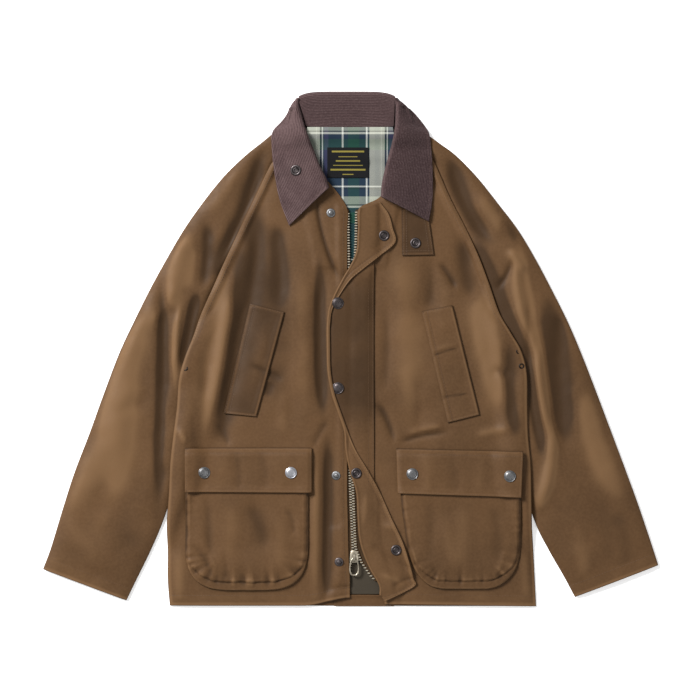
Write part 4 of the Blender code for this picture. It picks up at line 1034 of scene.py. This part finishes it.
def pocketBag(sideName, seed):
    # the face stands off the front inside its outline; round it the gusset lies lower, wide at the
    # bottom and narrow at the sides, and the gathered edge between them puckers
    rows = np.asarray(pockets["bag" + sideName.title()], float)
    edges = evenly(np.column_stack([rows[:, 1], rows[:, 0], rows[:, 2], rows[:, 0]]), 2.6)
    plan = ruled(edges[:, :2], edges[:, 2:], shares(184, 2.8))
    bottom = np.linspace(edges[-1, :2], edges[-1, 2:], 12)[1:-1]
    fromEdge, place = nearOutline(plan, np.vstack([edges[:, :2], bottom, edges[::-1, 2:]]))
    y = plan[..., 1]
    gusset = pockets["gussetSide"] + (pockets["gussetBottom"] - pockets["gussetSide"]) * ease((-312 - y) / 34)
    inward = fromEdge - gusset + 0.9 * wander(place, place * 0, 11, seed)
    low = ease((-290 - y) / 40)  # 1 along the gathered bottom, 0 at the straight sides
    step = ease(inward / 2.6 + 0.5)
    gathers = wander(place, place * 0 + inward * 0.02, 5.5, seed + 1) * (0.25 + 0.75 * low)
    gathers = gathers * np.exp(-np.abs(inward) / np.where(inward > 0, 13, 5)) * pockets["gather"]
    creases = folded(plan, pockets["bagFolds"][sideName]) + rumpled(plan, ((30, 0.4),), seed + 2)
    creases = creases * ease(inward / 14)
    rolled = 0.5 * np.exp(-((inward - 2.4) / 1.6) ** 2)
    shelf = 0.5 * ease(fromEdge / 2) + 2.3 * low * ease(fromEdge / 2.5)
    gathered = -0.8 * np.exp(-((inward / 1.3) ** 2)) * low
    face = pockets["faceRise"] - 1.9 * low + 0.8 * ease(inward / 30) + np.maximum(creases, -2.6)
    z = lieOn(plan, 1, 4) + np.maximum(shelf + face * step + gathers + rolled + gathered, 0)
    # painted shade: ridges, gathers and the rolled edge paler, troughs and the gathered line darker, the side
    # gussets darker as in shadow, and an edge line along the bottom
    relief = creases * 0.32 + gathers * 0.6 + rolled * 0.6 + gathered * 0.9 - 0.8 * (1 - step) * (1 - low)
    relief += edgeWearAndShade(fromEdge, 0.7, 0.6) * low
    laySheet("pocket_bag_" + sideName, np.dstack([plan, z])[::-1], "waxed", "waxed",
             relief[::-1])


def sewnPatch(nodeName, corners, lines, folds=(), lift=None, soften=3, dark=None, tone=0.0):
    # a four-cornered patch resting on what is below, with a turned edge, stitch furrows and its folds;
    # lines are (edge, distance) with edges 0 top, 1 right, 2 bottom, 3 left
    plan = fourCorners(corners, 2.6)[::-1]
    left, right, bottom, top = distances(plan)
    edges = (top, right, bottom, left)
    near = np.minimum(np.minimum(top, bottom), np.minimum(left, right))
    creases = (folded(plan, folds) + rumpled(plan, pockets["patchWaves"], 71)) * ease(near / 7)
    furrows = sum(groove(edges[edge], distance, 0.9, 0.32) for edge, distance in lines)
    surface = 0.25 + creases + furrows + 0.35 * ease((pockets["turned"] - near) / 1.5 + 0.5)
    if lift is not None:
        surface = surface + lift(top, right, bottom)
    z = lieOn(plan, 1, soften) + np.maximum(surface, 0)
    # painted shade: ridges paler, folds and stitch furrows darker, pale and dark lines at the edges, the
    # painted tone of the face, and a painted shadow line along each dark edge
    relief = creases * 0.35 + furrows * 0.8 + edgeWearAndShade(near, 0.8, 0.3) + tone
    for edge, strength in (dark or {}).items():
        relief = relief - strength * np.exp(-((edges[edge] / 1.3) ** 2))
    grid = np.dstack([plan, z])
    laySheet(nodeName, grid, "waxed", "waxed", relief)
    rowsAcross = {1: (alongColumn, True), 3: (alongColumn, False), 2: (alongRow, False), 0: (alongRow, True)}
    for edge, distance in lines:
        walk, fromEnd = rowsAcross[edge]
        stitchPath("pocketStitches", walk(grid, distance, 0.04, 0.97, fromEnd=fromEnd), 3.8)


def weltLift(top, right, bottom):
    # the open edge stands off the front, and the sewn edges are held down
    return 0.4 * ease((12 - right) / 12) * ease(np.minimum(top, bottom) / 16)


def flapLift(top, _, bottom):
    # the lower edge curls off the bag, and the upper one is folded over
    return 0.9 * ease((12 - bottom) / 12) + 0.5 * ease(top / 12)


for sideName in ("right", "left"):
    sewnPatch("welt_" + sideName, pockets["welts"][sideName],
              ((3, 2.0), (3, 8.0), (0, 2.2), (2, 2.2)),
              pockets["weltFolds"][sideName], weltLift, dark=pockets["weltEdges"][sideName],
              tone=pockets["weltTone"][sideName])
for sideName, seed in (("right", 81), ("left", 91)):
    pocketBag(sideName, seed)
for sideName in ("right", "left"):
    title = sideName.title()
    # each flap has a painted shadow line along its top edge
    sewnPatch("pocket_flap_" + sideName, pockets["flap" + title],
              ((0, 2.0), (0, 8.0), (1, 2.2), (2, 2.2), (3, 2.2)),
              pockets["flapFolds"][sideName], flapLift, soften=6, dark={0: 1.8})
print("pockets sewn")

# storm fly and throat tab
stormFly = {
    # neck to hem: its seam, its fold, and its free edge past the fold
    "rows": (
        (36, 219, 13, 211, 45, 221), (36, 206, 12, 199, 58, 203), (36, 192, 12, 186, 64, 182),
        (36, 176, 11, 168, 68, 161), (36, 158, 10, 150, 44, 140), (36, 139, 3, 131, 20, 121),
        (36, 118, -11, 107, 2, 106), (36, 95, -23, 84, -12, 87), (36, 70, -32, 61, -26, 62),
        (36, 42, -35, 36, -30, 36), (36, 8, -35, 6, -30, 6), (36, -30, -34, -31, -29, -31),
        (36, -65, -28, -65, -23, -65), (36, -95, -18, -95, -13, -95), (36, -122, -9, -122, -3, -122),
        (36, -150, -7, -149, 9, -150), (36, -180, -1, -180, 27, -180), (36, -213, 9.0, -213, 45, -213),
        (36, -248, 11.0, -249, 62, -251), (37, -280, 13.5, -281, 78, -285), (41, -304, 20, -305, 88, -315),
        (48, -328, 30, -328, 95, -341), (57, -350, 43, -351, 96, -354), (62, -371, 44, -366, 52, -376),
    ),
    "turn": 1.7,
    "folds": ((44, -226, 68, -236, 3.5, -1.3, 1, 1.5), (52, -262, 82, -276, 4.5, 1.3, 2, 1.5),
              (34, -290, 62, -318, 4, -1.3, 2, 1.5), (62, -308, 92, -326, 3.5, -1.4, -2, 1.5),
              (46, -336, 84, -354, 4.5, 1.4, 2, 1.5), (66, -352, 96, -340, 3, -1.5, 1, 1.4),
              (24, -214, 20, -262, 4, 0.9, 1, 1.6), (60, 178, 34, 150, 7, -1.0, 2, 1.6)),
    "stitches": (2.2, 8.2),
    "seamStitches": (2.4, 8.4),
    "turnedFrom": (-150, 140),  # it lies shut between these heights, and its ends are turned back
    # painted shade on the stretch that lies shut, and painted highlight on the turned ends
    "closedTone": -0.9,
    "turnedTone": 0.2,
    "flat": (0.125, 0.62),
    "area": 0.046,
    "tab": ((77, 212), (116, 212), (126, 142), (78, 141)),
    # painted shadow of the collar over the throat tab
    "tabTone": -0.85,
}
rows = evenly(stormFly["rows"], 3.0)
seam, fold, free = rows[:, 0:2], rows[:, 2:4], rows[:, 4:6]
toward = (fold - seam) / np.linalg.norm(fold - seam, axis=1, keepdims=True)
turnAt = fold - toward * (stormFly["turn"] + clothWall["waxed"] / 2)
lower = ruled(seam, turnAt, shares(58, 2.8))
fromSeam, fromFold, _, _ = distances(lower)
hemward, neckward = lower[..., 1] - stormFly["turnedFrom"][0], stormFly["turnedFrom"][1] - lower[..., 1]
closed = ease(hemward / 90) * ease(neckward / 70)
soft = rumpled(lower, ((26, 0.35), (12, 0.2)), 101) + closed * 0.5 * ease(fromFold / 8)
lowerZ = lieOn(lower, 1, 7) + 0.3 + np.maximum(soft, -0.2) * ease(fromSeam / 8)
lowerZ = lowerZ + groove(fromSeam, stormFly["seamStitches"][0]) + closed * groove(fromFold, 3.0)
stamp(np.dstack([lower, lowerZ + clothWall["waxed"] / 2]))
upper = ruled(turnAt, free, shares(60, 2.8))
fromTurn, fromFree, _, _ = distances(upper)
curl = ease((fromTurn + fromFree) / 40) * (0.8 * np.exp(-fromTurn / 14) + 1.1 * ease((10 - fromFree) / 10))
rumple = folded(upper, stormFly["folds"]) * ease(fromTurn / 7) * ease((fromFree + 3) / 7)
waves = rumpled(upper, ((22, 0.3),), 103) * ease(fromTurn / 9)
furrows = [groove(fromFree, place) for place in stormFly["stitches"]]
upperZ = lieOn(upper, 1, 5) + curl + rumple + waves + sum(furrows)
upperZ[:, 0] = np.maximum(upperZ[:, 0], lowerZ[:, -1] + 2 * stormFly["turn"])
upperZ = np.maximum(upperZ, upperZ[:, :1] - fromTurn * 0.35)
middleZ, riseZ = (lowerZ[:, -1:] + upperZ[:, :1]) / 2, (upperZ[:, :1] - lowerZ[:, -1:]) / 2
roundPlan = turnAt[:, None] + toward[:, None] * (stormFly["turn"] * np.cos(halfTurn))[None, :, None]
grid = np.concatenate([np.dstack([lower, lowerZ]), np.dstack([roundPlan, middleZ + riseZ * np.sin(halfTurn)]),
                       np.dstack([upper, upperZ])], axis=1)
# painted shade: the stretch that lies shut is darker; painted highlight: the rounded fold, the curl and folds
# of the turned ends are paler, with pale and dark lines at the free edge
shut = (soft * 0.3 + stormFly["closedTone"]) * closed
turned = stormFly["turnedTone"] + 0.25 * curl + 0.35 * rumple + edgeWearAndShade(fromFree, 0.9, 0.3)
turned = turned + furrows[1] * 0.8
relief = np.concatenate([shut, 0.6 + 0 * roundPlan[..., 0], turned], axis=1)
laySheet("storm_fly", grid, "waxed", "waxed",
         relief)
flyUpper, flyLower = grid[:, lower.shape[1] + len(halfTurn):], grid[:, :lower.shape[1]]
for distance in stormFly["stitches"]:
    for first, last in ((0.0, 0.2), (0.62, 1.0)):
        stitchPath("flyStitches", alongColumn(flyUpper, distance, first, last, fromEnd=True))
for distance in stormFly["seamStitches"]:
    stitchPath("flyStitches", alongColumn(flyLower, distance, 0.24, 0.7))
# the tab gets painted shadow lines along its sides and painted shade over its face
sewnPatch("throat_tab", stormFly["tab"],
          ((1, 2.0), (2, 2.0), (3, 2.0), (1, 7.0), (2, 7.0), (3, 7.0)),
          dark={3: 0.8, 1: 0.8}, tone=stormFly["tabTone"])
print("fly and throat tab sewn")

# collar leaves
leaves = {
    "right": ((-75, 375, -78, 377), (-76, 367, -86, 369), (-72, 352, -98, 348), (-67, 333, -116, 326),
              (-60, 314, -117, 305), (-52, 294, -115, 281), (-44, 274, -111, 253), (-36, 258, -105, 224),
              (-31, 243, -91, 186)),
    "left": ((66, 375, 69, 377), (68, 367, 79, 369), (68, 352, 98, 353), (67, 333, 117, 327),
             (63, 311, 121, 303), (57, 289, 123, 277), (51, 266, 124, 250), (47, 246, 123, 223),
             (46, 229, 118, 192)),
    "roll": 4.4,
    "stand": 15.0,
    "highestStand": 7.0,
    # painted shade: the left leaf darker as it faces away from the light, the right one lighter
    "tone": {"right": 0.35, "left": -1.0},
    "waves": ((24, 0.5), (9, 0.3)),
    "stitch": 5.0,
    "flat": (0.10, 0.19),
    "area": 0.014,
}


def collarLeaf(sideName, side, seed):
    # a hidden stand, a roll in a half circle about the inner edge, and the leaf falling from the roll
    # to its outer edge, which lies on the front
    rows = evenly(leaves[sideName], 2.6)
    inner, outer = rows[:, :2], rows[:, 2:]
    reach = np.linalg.norm(outer - inner, axis=1, keepdims=True)
    outward = (outer - inner) / reach
    half, roll = clothWall["cord"] / 2, leaves["roll"] * ease(reach / 26 + 0.35)
    rollAt = inner + outward * np.minimum(roll + half, reach * 0.45)
    stand = np.minimum(leaves["stand"], reach * 0.4)
    leg = ruled(rollAt + outward * stand, rollAt, np.linspace(0, 1, 6))
    # the stand lies level with the collar behind the neck, and lower as it nears the front
    highest = leaves["highestStand"] + 9 * ease((350 - leg[..., 1]) / 40)
    legZ = np.minimum(lieOn(leg, 2, 5, "cord"), highest)
    legZ = np.maximum(legZ, legZ[:, -1:] - 0.2)
    rollBase, rollTop = legZ[:, -1:], legZ[:, -1:] + 2 * roll
    roundPlan = rollAt[:, None] - outward[:, None] * (roll * np.cos(halfTurn))[..., None]
    roundZ = rollBase + roll + roll * np.sin(halfTurn)
    upper = ruled(rollAt, outer, shares(66, 2.4))
    fromRoll, fromOuter, _, fromFront = distances(upper)
    below = lieOn(upper, 1, 4, "cord")
    overLeg = legZ.max(axis=1, keepdims=True) + 2 * half + clothWall["gap"]
    below = np.where(fromRoll < stand + 4, np.maximum(below, overLeg), below)
    share = fromRoll / (fromRoll + fromOuter)
    drop = rollTop - (rollTop - below[:, -1:]) * (0.25 * share + 0.75 * ease(share))
    soft = rumpled(upper, leaves["waves"], seed)
    bulge = 1.6 * np.sin(np.pi * share) * ease(reach / 60)
    near = np.minimum(fromOuter, fromFront)
    z = np.maximum(drop + bulge + soft * ease(fromOuter / 9) * ease(fromRoll / 8), below)
    z = z + groove(near, leaves["stitch"], 1.0, 0.45) + 0.3 * ease((leaves["stitch"] - near) / 2)
    z = z + rumpled(upper, ((6, 0.25),), seed + 2) * np.exp(-near / 9)
    face = np.dstack([upper, z])
    grid = np.concatenate([np.dstack([leg, legZ]), np.dstack([roundPlan, roundZ]), face], axis=1)
    # painted highlight and shade: paler near the edges, partly worn and partly lit, and on raised waves; the
    # hidden stand darker, the roll paler, and each leaf lighter or darker by its tone
    wearAndShade = 0.5 * np.exp(-near / 2.5) + 0.25 * soft + rumpled(upper, ((12, 0.25),), seed + 3)
    relief = np.concatenate([0 * legZ - 0.3, 0 * roundZ + 0.15, wearAndShade + leaves["tone"][sideName]], axis=1)
    if side < 0:
        grid, relief = grid[::-1], relief[::-1]
    laySheet("collar_leaf_" + sideName, grid, "cord", "corduroy",
             relief, edge=0.62)
    stitchPath("collarStitches", alongColumn(face, leaves["stitch"], 0.08, 0.93, fromEnd=True), 3.6)
    stitchPath("collarStitches", alongRow(face, leaves["stitch"], 0.1, 0.93, fromEnd=True), 3.6)


collarLeaf("right", -1, 111)
collarLeaf("left", 1, 121)
print("collar laid")

# snaps, eyelets and zip
snaps = {
    # each by its node, its place and its finish
    "cap": (("flap_cap_right_outer", -217, -183, "pewter"),
            # this cap has the brighter pewter, a painted reflection
            ("flap_cap_right_inner", -88, -183, "pewterPaintedGlint"),
            ("flap_cap_left_inner", 93, -185, "pewter"), ("flap_cap_left_outer", 238, -188, "pewter"),
            ("fly_cap_upper", -18, 70, "darkPewter"), ("fly_cap_lower", -18, -57, "darkPewter")),
    "ring": (("fly_socket_top", 51, 171, "darkPewter"), ("fly_socket_middle", 9.5, -184, "darkPewter"),
             ("fly_socket_hem", 69, -299, "darkPewter"), ("throat_snap", 98, 160, "darkPewter"),
             ("collar_stud", -81, 268, "darkPewter")),
    "stud": (("front_stud_neck", -28.5, 205, "pewter"), ("front_stud_middle", -21, -188, "pewter"),
             ("front_stud_hem", -16.5, -317, "darkPewter")),
    "eyelet": (("eyelet_right", -246, -27, "eyelet"), ("eyelet_left_upper", 252, -2, "eyelet"),
               ("eyelet_left_lower", 256, -24, "eyelet")),
    # sections as radius and height above the cloth
    "capSection": ((0, -0.6), (8.3, -0.6), (8.7, 0.1), (8.7, 0.7), (8.3, 1.1), (7.7, 1.15), (7.4, 0.9),
                   (7.1, 1.0), (6.8, 1.5), (6.0, 2.0), (4.6, 2.35), (2.6, 2.5), (0, 2.55)),
    "ringSection": ((0, -0.6), (7.6, -0.6), (8.0, 0.1), (7.8, 0.9), (7.0, 1.4), (6.0, 1.5), (5.2, 1.1),
                    (4.6, 0.4), (4.3, 0.3), (3.9, 1.2), (3.3, 1.6), (2.6, 1.4), (2.2, 0.5), (0, 0.4)),
    "studSection": ((0, -0.6), (6.3, -0.6), (6.7, 0.1), (6.3, 0.7), (5.2, 0.9), (3.4, 1.0), (3.1, 1.6),
                    (3.3, 2.3), (2.9, 2.9), (1.8, 3.2), (0, 3.2)),
    "eyeletSection": ((1.9, -0.5), (3.9, -0.5), (4.2, 0.0), (3.8, 0.4), (3.0, 0.6), (2.2, 0.4), (1.9, 0.0)),
}


def turnedPoints(section, x, y, base, segments=40):
    # a section turned about an upright axis; a closed section makes a ring
    section = np.asarray(section, float)
    angle = np.arange(segments) * 2 * math.pi / segments
    px = x + section[:, :1] * np.cos(angle)
    py = y + section[:, :1] * np.sin(angle)
    pz = base + section[:, 1:] + 0 * angle
    return np.dstack([px, py, pz])


def turnedPiece(nodeName, x, y, section, finish, hole):
    # it stands on the plane that best fits the cloth round it
    spot = np.array([[x + dx, y + dy] for dx in (-5, 0, 5) for dy in (-5, 0, 5)])
    found = readMap(topMap, spot[:, 0], spot[:, 1])
    slopes = np.linalg.lstsq(np.column_stack([spot - (x, y), np.ones(len(spot))]), found, rcond=None)[0]
    rings = turnedPoints(section, x, y, slopes[2] + 0.3)
    rings[..., 2] += slopes[0] * (rings[..., 0] - x) + slopes[1] * (rings[..., 1] - y)
    rows, segments = rings.shape[:2]
    if hole:
        rings = np.vstack([rings, rings[:1]])
        rows += 1
    index = np.arange(rows * segments).reshape(rows, segments)
    if hole:
        index[-1] = index[0]
    following = np.roll(index, -1, axis=1)
    quads = np.dstack([index[:-1], following[:-1], following[1:], index[1:]]).reshape(-1, 4)
    points = rings.reshape(-1, 3)
    if hole:
        points = points[: (rows - 1) * segments]
        faces = quads
    else:
        # both poles are one point each, with triangles round them
        keep = np.concatenate([[0], np.arange(segments, (rows - 1) * segments), [(rows - 1) * segments]])
        renumber = np.zeros(rows * segments, int)
        renumber[keep] = np.arange(len(keep))
        renumber[:segments] = 0
        renumber[(rows - 1) * segments:] = len(keep) - 1
        points = points[keep]
        faces = renumber[quads]
    lists = [list(dict.fromkeys(face)) for face in faces.tolist()]
    piece = putMesh(pieceName(nodeName), points, lists, finish, sharp=50)
    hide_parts(nodeName)
    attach(piece, "garment")


for kind in ("cap", "ring", "stud", "eyelet"):
    for nodeName, x, y, finish in snaps[kind]:
        turnedPiece(nodeName, x, y, snaps[kind + "Section"], finish, hole=kind == "eyelet")
print("snaps and eyelets set")

zipper = {
    "pitch": 4.0,
    "tooth": (4.5, 1.9, 1.8),  # across the zip, along it, and high
    "stops": (206, -344),
    "wire": 1.0,
    "pullLength": 27.0,
    "pullWidth": 14.5,
    "pullSteps": 56,
    "slider": {
        "halfWidth": 6.4,
        "halfLength": 9.6,
        "thick": 3.0,
        "belowHinge": 1.35,
        "sides": 36,
        # rings from the underside up, as a share of the outline and a height
        "levels": ((0.82, 0), (0.97, 0.3), (1.0, 0.8), (0.95, 1.2), (0.93, 1.6), (0.97, 1.9), (0.97, 2.5),
                   (0.86, 3.0), (0.4, 3.15)),
        # the bridge that the pull hangs on: its reach along the slider, height, bar and half width
        "bridge": {"reach": 6.2, "height": 4.2, "bar": 1.0, "half": 1.5, "steps": 17},
    },
}


def teethPoints(edgeColumn, side, offset):
    # rounded blocks along one tape's edge, each a small box narrower at its free end
    tape = np.asarray(inside["tapeRows"], float)[::-1]
    y = np.arange(zipper["stops"][1], zipper["stops"][0], zipper["pitch"]) + offset
    x = np.interp(y, tape[:, 0], tape[:, edgeColumn])
    across, along, high = zipper["tooth"]
    ring = np.array([[-0.5, -0.5], [0.30, -0.5], [0.5, -0.28], [0.5, 0.28], [0.30, 0.5], [-0.5, 0.5]])
    levels = np.array([[0.9, 0.0], [1.0, 0.25], [1.0, 0.7], [0.72, 1.0]])
    shape = np.concatenate([np.column_stack([ring * size, np.full(len(ring), level)])
                            for size, level in levels])
    shape = shape * (-side * across, along, high)
    base = readMap(tapeMap, x + side * 1.5, y)
    middles = np.column_stack([x + side * 1.2, y, base - 0.2])
    points = (middles[:, None] + shape[None]).reshape(-1, 3)
    count, sides = len(ring), len(levels)
    faces = [[level * count + i, level * count + (i + 1) % count, (level + 1) * count + (i + 1) % count,
              (level + 1) * count + i] for level in range(sides - 1) for i in range(count)]
    faces += [list(range(count))[::-1], [(sides - 1) * count + i for i in range(count)]]
    if side > 0:
        faces = [face[::-1] for face in faces]
    lists = [[corner + start for corner in face]
             for start in range(0, len(points), len(shape)) for face in faces]
    return points, lists


for name, column, side, offset in (("zipTeethRight", 1, -1, 0.0), ("zipTeethLeft", 2, 1, 2.0)):
    points, faces = teethPoints(column, side, offset)
    piece = putMesh(name, points, faces, "zipMetal", sharp=40)
    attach(piece, "garment")

sliderLow, sliderHigh = (np.array(corner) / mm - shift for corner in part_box("zip_slider"))
pullLow, pullHigh = (np.array(corner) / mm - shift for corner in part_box("zip_pull"))
wireInCad = 0.9  # half the thickness of the pull's wire where it turns on the bridge
hinge = np.array([(pullLow[0] + pullHigh[0]) / 2, pullHigh[1] - wireInCad, (pullLow[2] + pullHigh[2]) / 2])


def squaredCircle(count, squareness):
    # a circle pressed towards a square: sine and cosine raised to a power below one
    turn = np.arange(count) * 2 * math.pi / count
    power = 2 / squareness
    return [np.sign(wave) * np.abs(wave) ** power for wave in (np.cos(turn), np.sin(turn))]


def sliderShape(size):
    # a rounded body, wider at its lower end, as rings of a squared circle drawn in towards its top and
    # bottom; the bridge is a flat bar bent in an arch along it
    x, y = (sliderLow[:2] + sliderHigh[:2]) / 2
    sides, bridge = size["sides"], size["bridge"]
    unitX, unitY = squaredCircle(sides, 3.2)
    width = size["halfWidth"] * (1 - 0.16 * unitY)
    top = hinge[2] - size["belowHinge"]
    rings = np.stack([np.column_stack([x + unitX * width * scale, y + unitY * size["halfLength"] * scale,
                                       np.full(sides, top - size["thick"] + height)])
                      for scale, height in size["levels"]])
    index = np.arange(len(rings) * sides).reshape(len(rings), sides)
    following = np.roll(index, -1, axis=1)
    faces = np.dstack([index[:-1], following[:-1], following[1:], index[1:]]).reshape(-1, 4).tolist()
    faces += [index[0, ::-1].tolist(), index[-1].tolist()]
    points = rings.reshape(-1, 3)
    bend = np.linspace(0, math.pi, bridge["steps"])
    bars = []
    for thinner in (0, bridge["bar"]):
        along = hinge[1] + 1.0 + (bridge["reach"] - thinner) * np.cos(bend)
        up = top - 0.6 + (bridge["height"] - thinner) * np.sin(bend)
        bars += [np.column_stack([0 * bend + x + aside, along, up])
                 for aside in (-bridge["half"], bridge["half"])]
    bar = np.stack(bars, axis=1)
    index = len(points) + np.arange(bridge["steps"] * 4).reshape(-1, 4)[:, [0, 1, 3, 2]]
    following = np.roll(index, -1, axis=1)
    faces += np.dstack([index[:-1], index[1:], following[1:], following[:-1]]).reshape(-1, 4).tolist()
    faces += [index[0].tolist(), index[-1, ::-1].tolist()]
    return np.vstack([points, bar.reshape(-1, 3)]), faces


def pullShape():
    # a round wire carried round a long squared circle that starts at the hinge
    wire, steps = zipper["wire"], zipper["pullSteps"]
    unitX, unitY = squaredCircle(steps, 2.6)
    reach = zipper["pullLength"] / 2 - wireInCad
    width = (zipper["pullWidth"] / 2 - wire) * (1 - 0.14 * unitY)
    path = np.column_stack([unitX * width, unitY * reach - reach, 0 * unitX]) + hinge
    along = np.roll(path, -1, axis=0) - np.roll(path, 1, axis=0)
    along /= np.linalg.norm(along, axis=1, keepdims=True)
    aside = np.cross(along, (0, 0, 1))
    around = np.arange(12) * 2 * math.pi / 12
    lower = ease((0.5 - unitY) / 1.5)[:, None, None]
    points = path[:, None] + wire * (np.cos(around)[None, :, None] * aside[:, None] * (1 + 0.35 * lower)
                                     + np.sin(around)[None, :, None] * np.array([0, 0, 0.9]))
    index = np.arange(steps * 12).reshape(steps, 12)
    ahead = np.roll(index, -1, axis=0)
    faces = np.dstack([index, np.roll(index, -1, axis=1), np.roll(ahead, -1, axis=1), ahead]).reshape(-1, 4)
    return points.reshape(-1, 3), faces[:, ::-1].tolist()


for nodeName, bodyName, shape in (("zip_slider", "garment", sliderShape(zipper["slider"])),
                                  ("zip_pull", "zip_pull", pullShape())):
    piece = putMesh(pieceName(nodeName), *shape, "brass", sharp=40)
    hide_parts(nodeName)
    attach(piece, bodyName)


def stitchSet(name, rows, finish, radius=0.36):
    # each stitch is a short five-sided spindle whose ends dip into the cloth
    ends = np.concatenate(rows)
    first, last = ends[..., 0], ends[..., 1]
    along = last - first
    along /= np.linalg.norm(along, axis=1, keepdims=True)
    aside = np.cross(along, (0, 0, 1))
    aside /= np.linalg.norm(aside, axis=1, keepdims=True)
    up = np.cross(aside, along)
    around = np.arange(5) * 2 * math.pi / 5
    rings = []
    for share, size, dip in ((0, 0.45, -0.22), (0.5, 1.0, 0.06), (1, 0.45, -0.22)):
        middle = first * (1 - share) + last * share + up * dip
        spoke = np.cos(around)[None, :, None] * aside[:, None] + np.sin(around)[None, :, None] * up[:, None]
        rings.append(middle[:, None] + spoke * radius * size)
    points = np.stack(rings, axis=1).reshape(-1, 3)
    index = np.arange(15).reshape(3, 5)
    around = np.roll(index, -1, axis=1)
    faces = np.dstack([index[:-1], index[1:], around[1:], around[:-1]]).reshape(-1, 4).tolist()
    faces += [index[0].tolist(), index[2, ::-1].tolist()]
    lists = [[corner + start for corner in face] for start in range(0, len(points), 15) for face in faces]
    piece = putMesh(name, points, lists, finish, sharp=40)
    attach(piece, "garment")
    print("stitches in", name + ":", len(ends))


for name, rows in stitchSets.items():
    stitchSet(name, rows, "collarThread" if name == "collarStitches" else "thread")

# floor, light and camera
studio = {
    "floor": (0.93, 0.93, 0.93, 1),
    "floorHalf": 4.0,
    "floorDrop": -0.0005,  # keeps the floor just under the cloth
    "floorGlow": 0.42,
    "world": 0.42,
    "key": 480.0,
    "fill": 12.0,
    "sensor": 36,
    "span": 1.05,  # how much the view takes in at the camera's distance
    "distance": 3.0,
}
floorMesh = bpy.data.meshes.new("floor")
floorCorners = [(x * studio["floorHalf"], y * studio["floorHalf"], studio["floorDrop"])
                for x, y in ((-1, -1), (1, -1), (1, 1), (-1, 1))]
floorMesh.from_pydata(floorCorners, [], [(0, 1, 2, 3)])
floorFinish, _, floorShader = newFinish("paleFloor", 0.95, 0.0)
floorShader.inputs["Base Color"].default_value = studio["floor"]
floorShader.inputs["Emission Color"].default_value = (1, 1, 1, 1)
floorShader.inputs["Emission Strength"].default_value = studio["floorGlow"]
floorMesh.materials.append(floorFinish)
floor = bpy.data.objects.new("floor", floorMesh)
bpy.context.scene.collection.objects.link(floor)

world = bpy.data.worlds.new("studio")
world.use_nodes = True
world.node_tree.nodes["Background"].inputs[0].default_value = (1, 1, 1, 1)
world.node_tree.nodes["Background"].inputs[1].default_value = studio["world"]
bpy.context.scene.world = world


def softLight(name, place, size, energy):
    lamp = bpy.data.lights.new(name, "AREA")
    lamp.shape, lamp.size, lamp.energy = "DISK", size, energy
    made = bpy.data.objects.new(name, lamp)
    made.location = place
    made.rotation_euler = (-made.location).to_track_quat("-Z", "Y").to_euler()
    bpy.context.scene.collection.objects.link(made)


softLight("keyLight", (-3.1, 2.4, 3.2), 1.9, studio["key"])
softLight("fillLight", (1.6, -1.2, 2.6), 2.2, studio["fill"])

cameraData = bpy.data.cameras.new("camera")
cameraData.sensor_width = studio["sensor"]
cameraData.lens = studio["sensor"] * studio["distance"] / studio["span"]
camera = bpy.data.objects.new("camera", cameraData)
camera.location = (shift[0] * mm, shift[1] * mm, studio["distance"])
bpy.context.scene.collection.objects.link(camera)
bpy.context.scene.camera = camera
bpy.context.scene.view_settings.view_transform = "Standard"
print("studio ready")
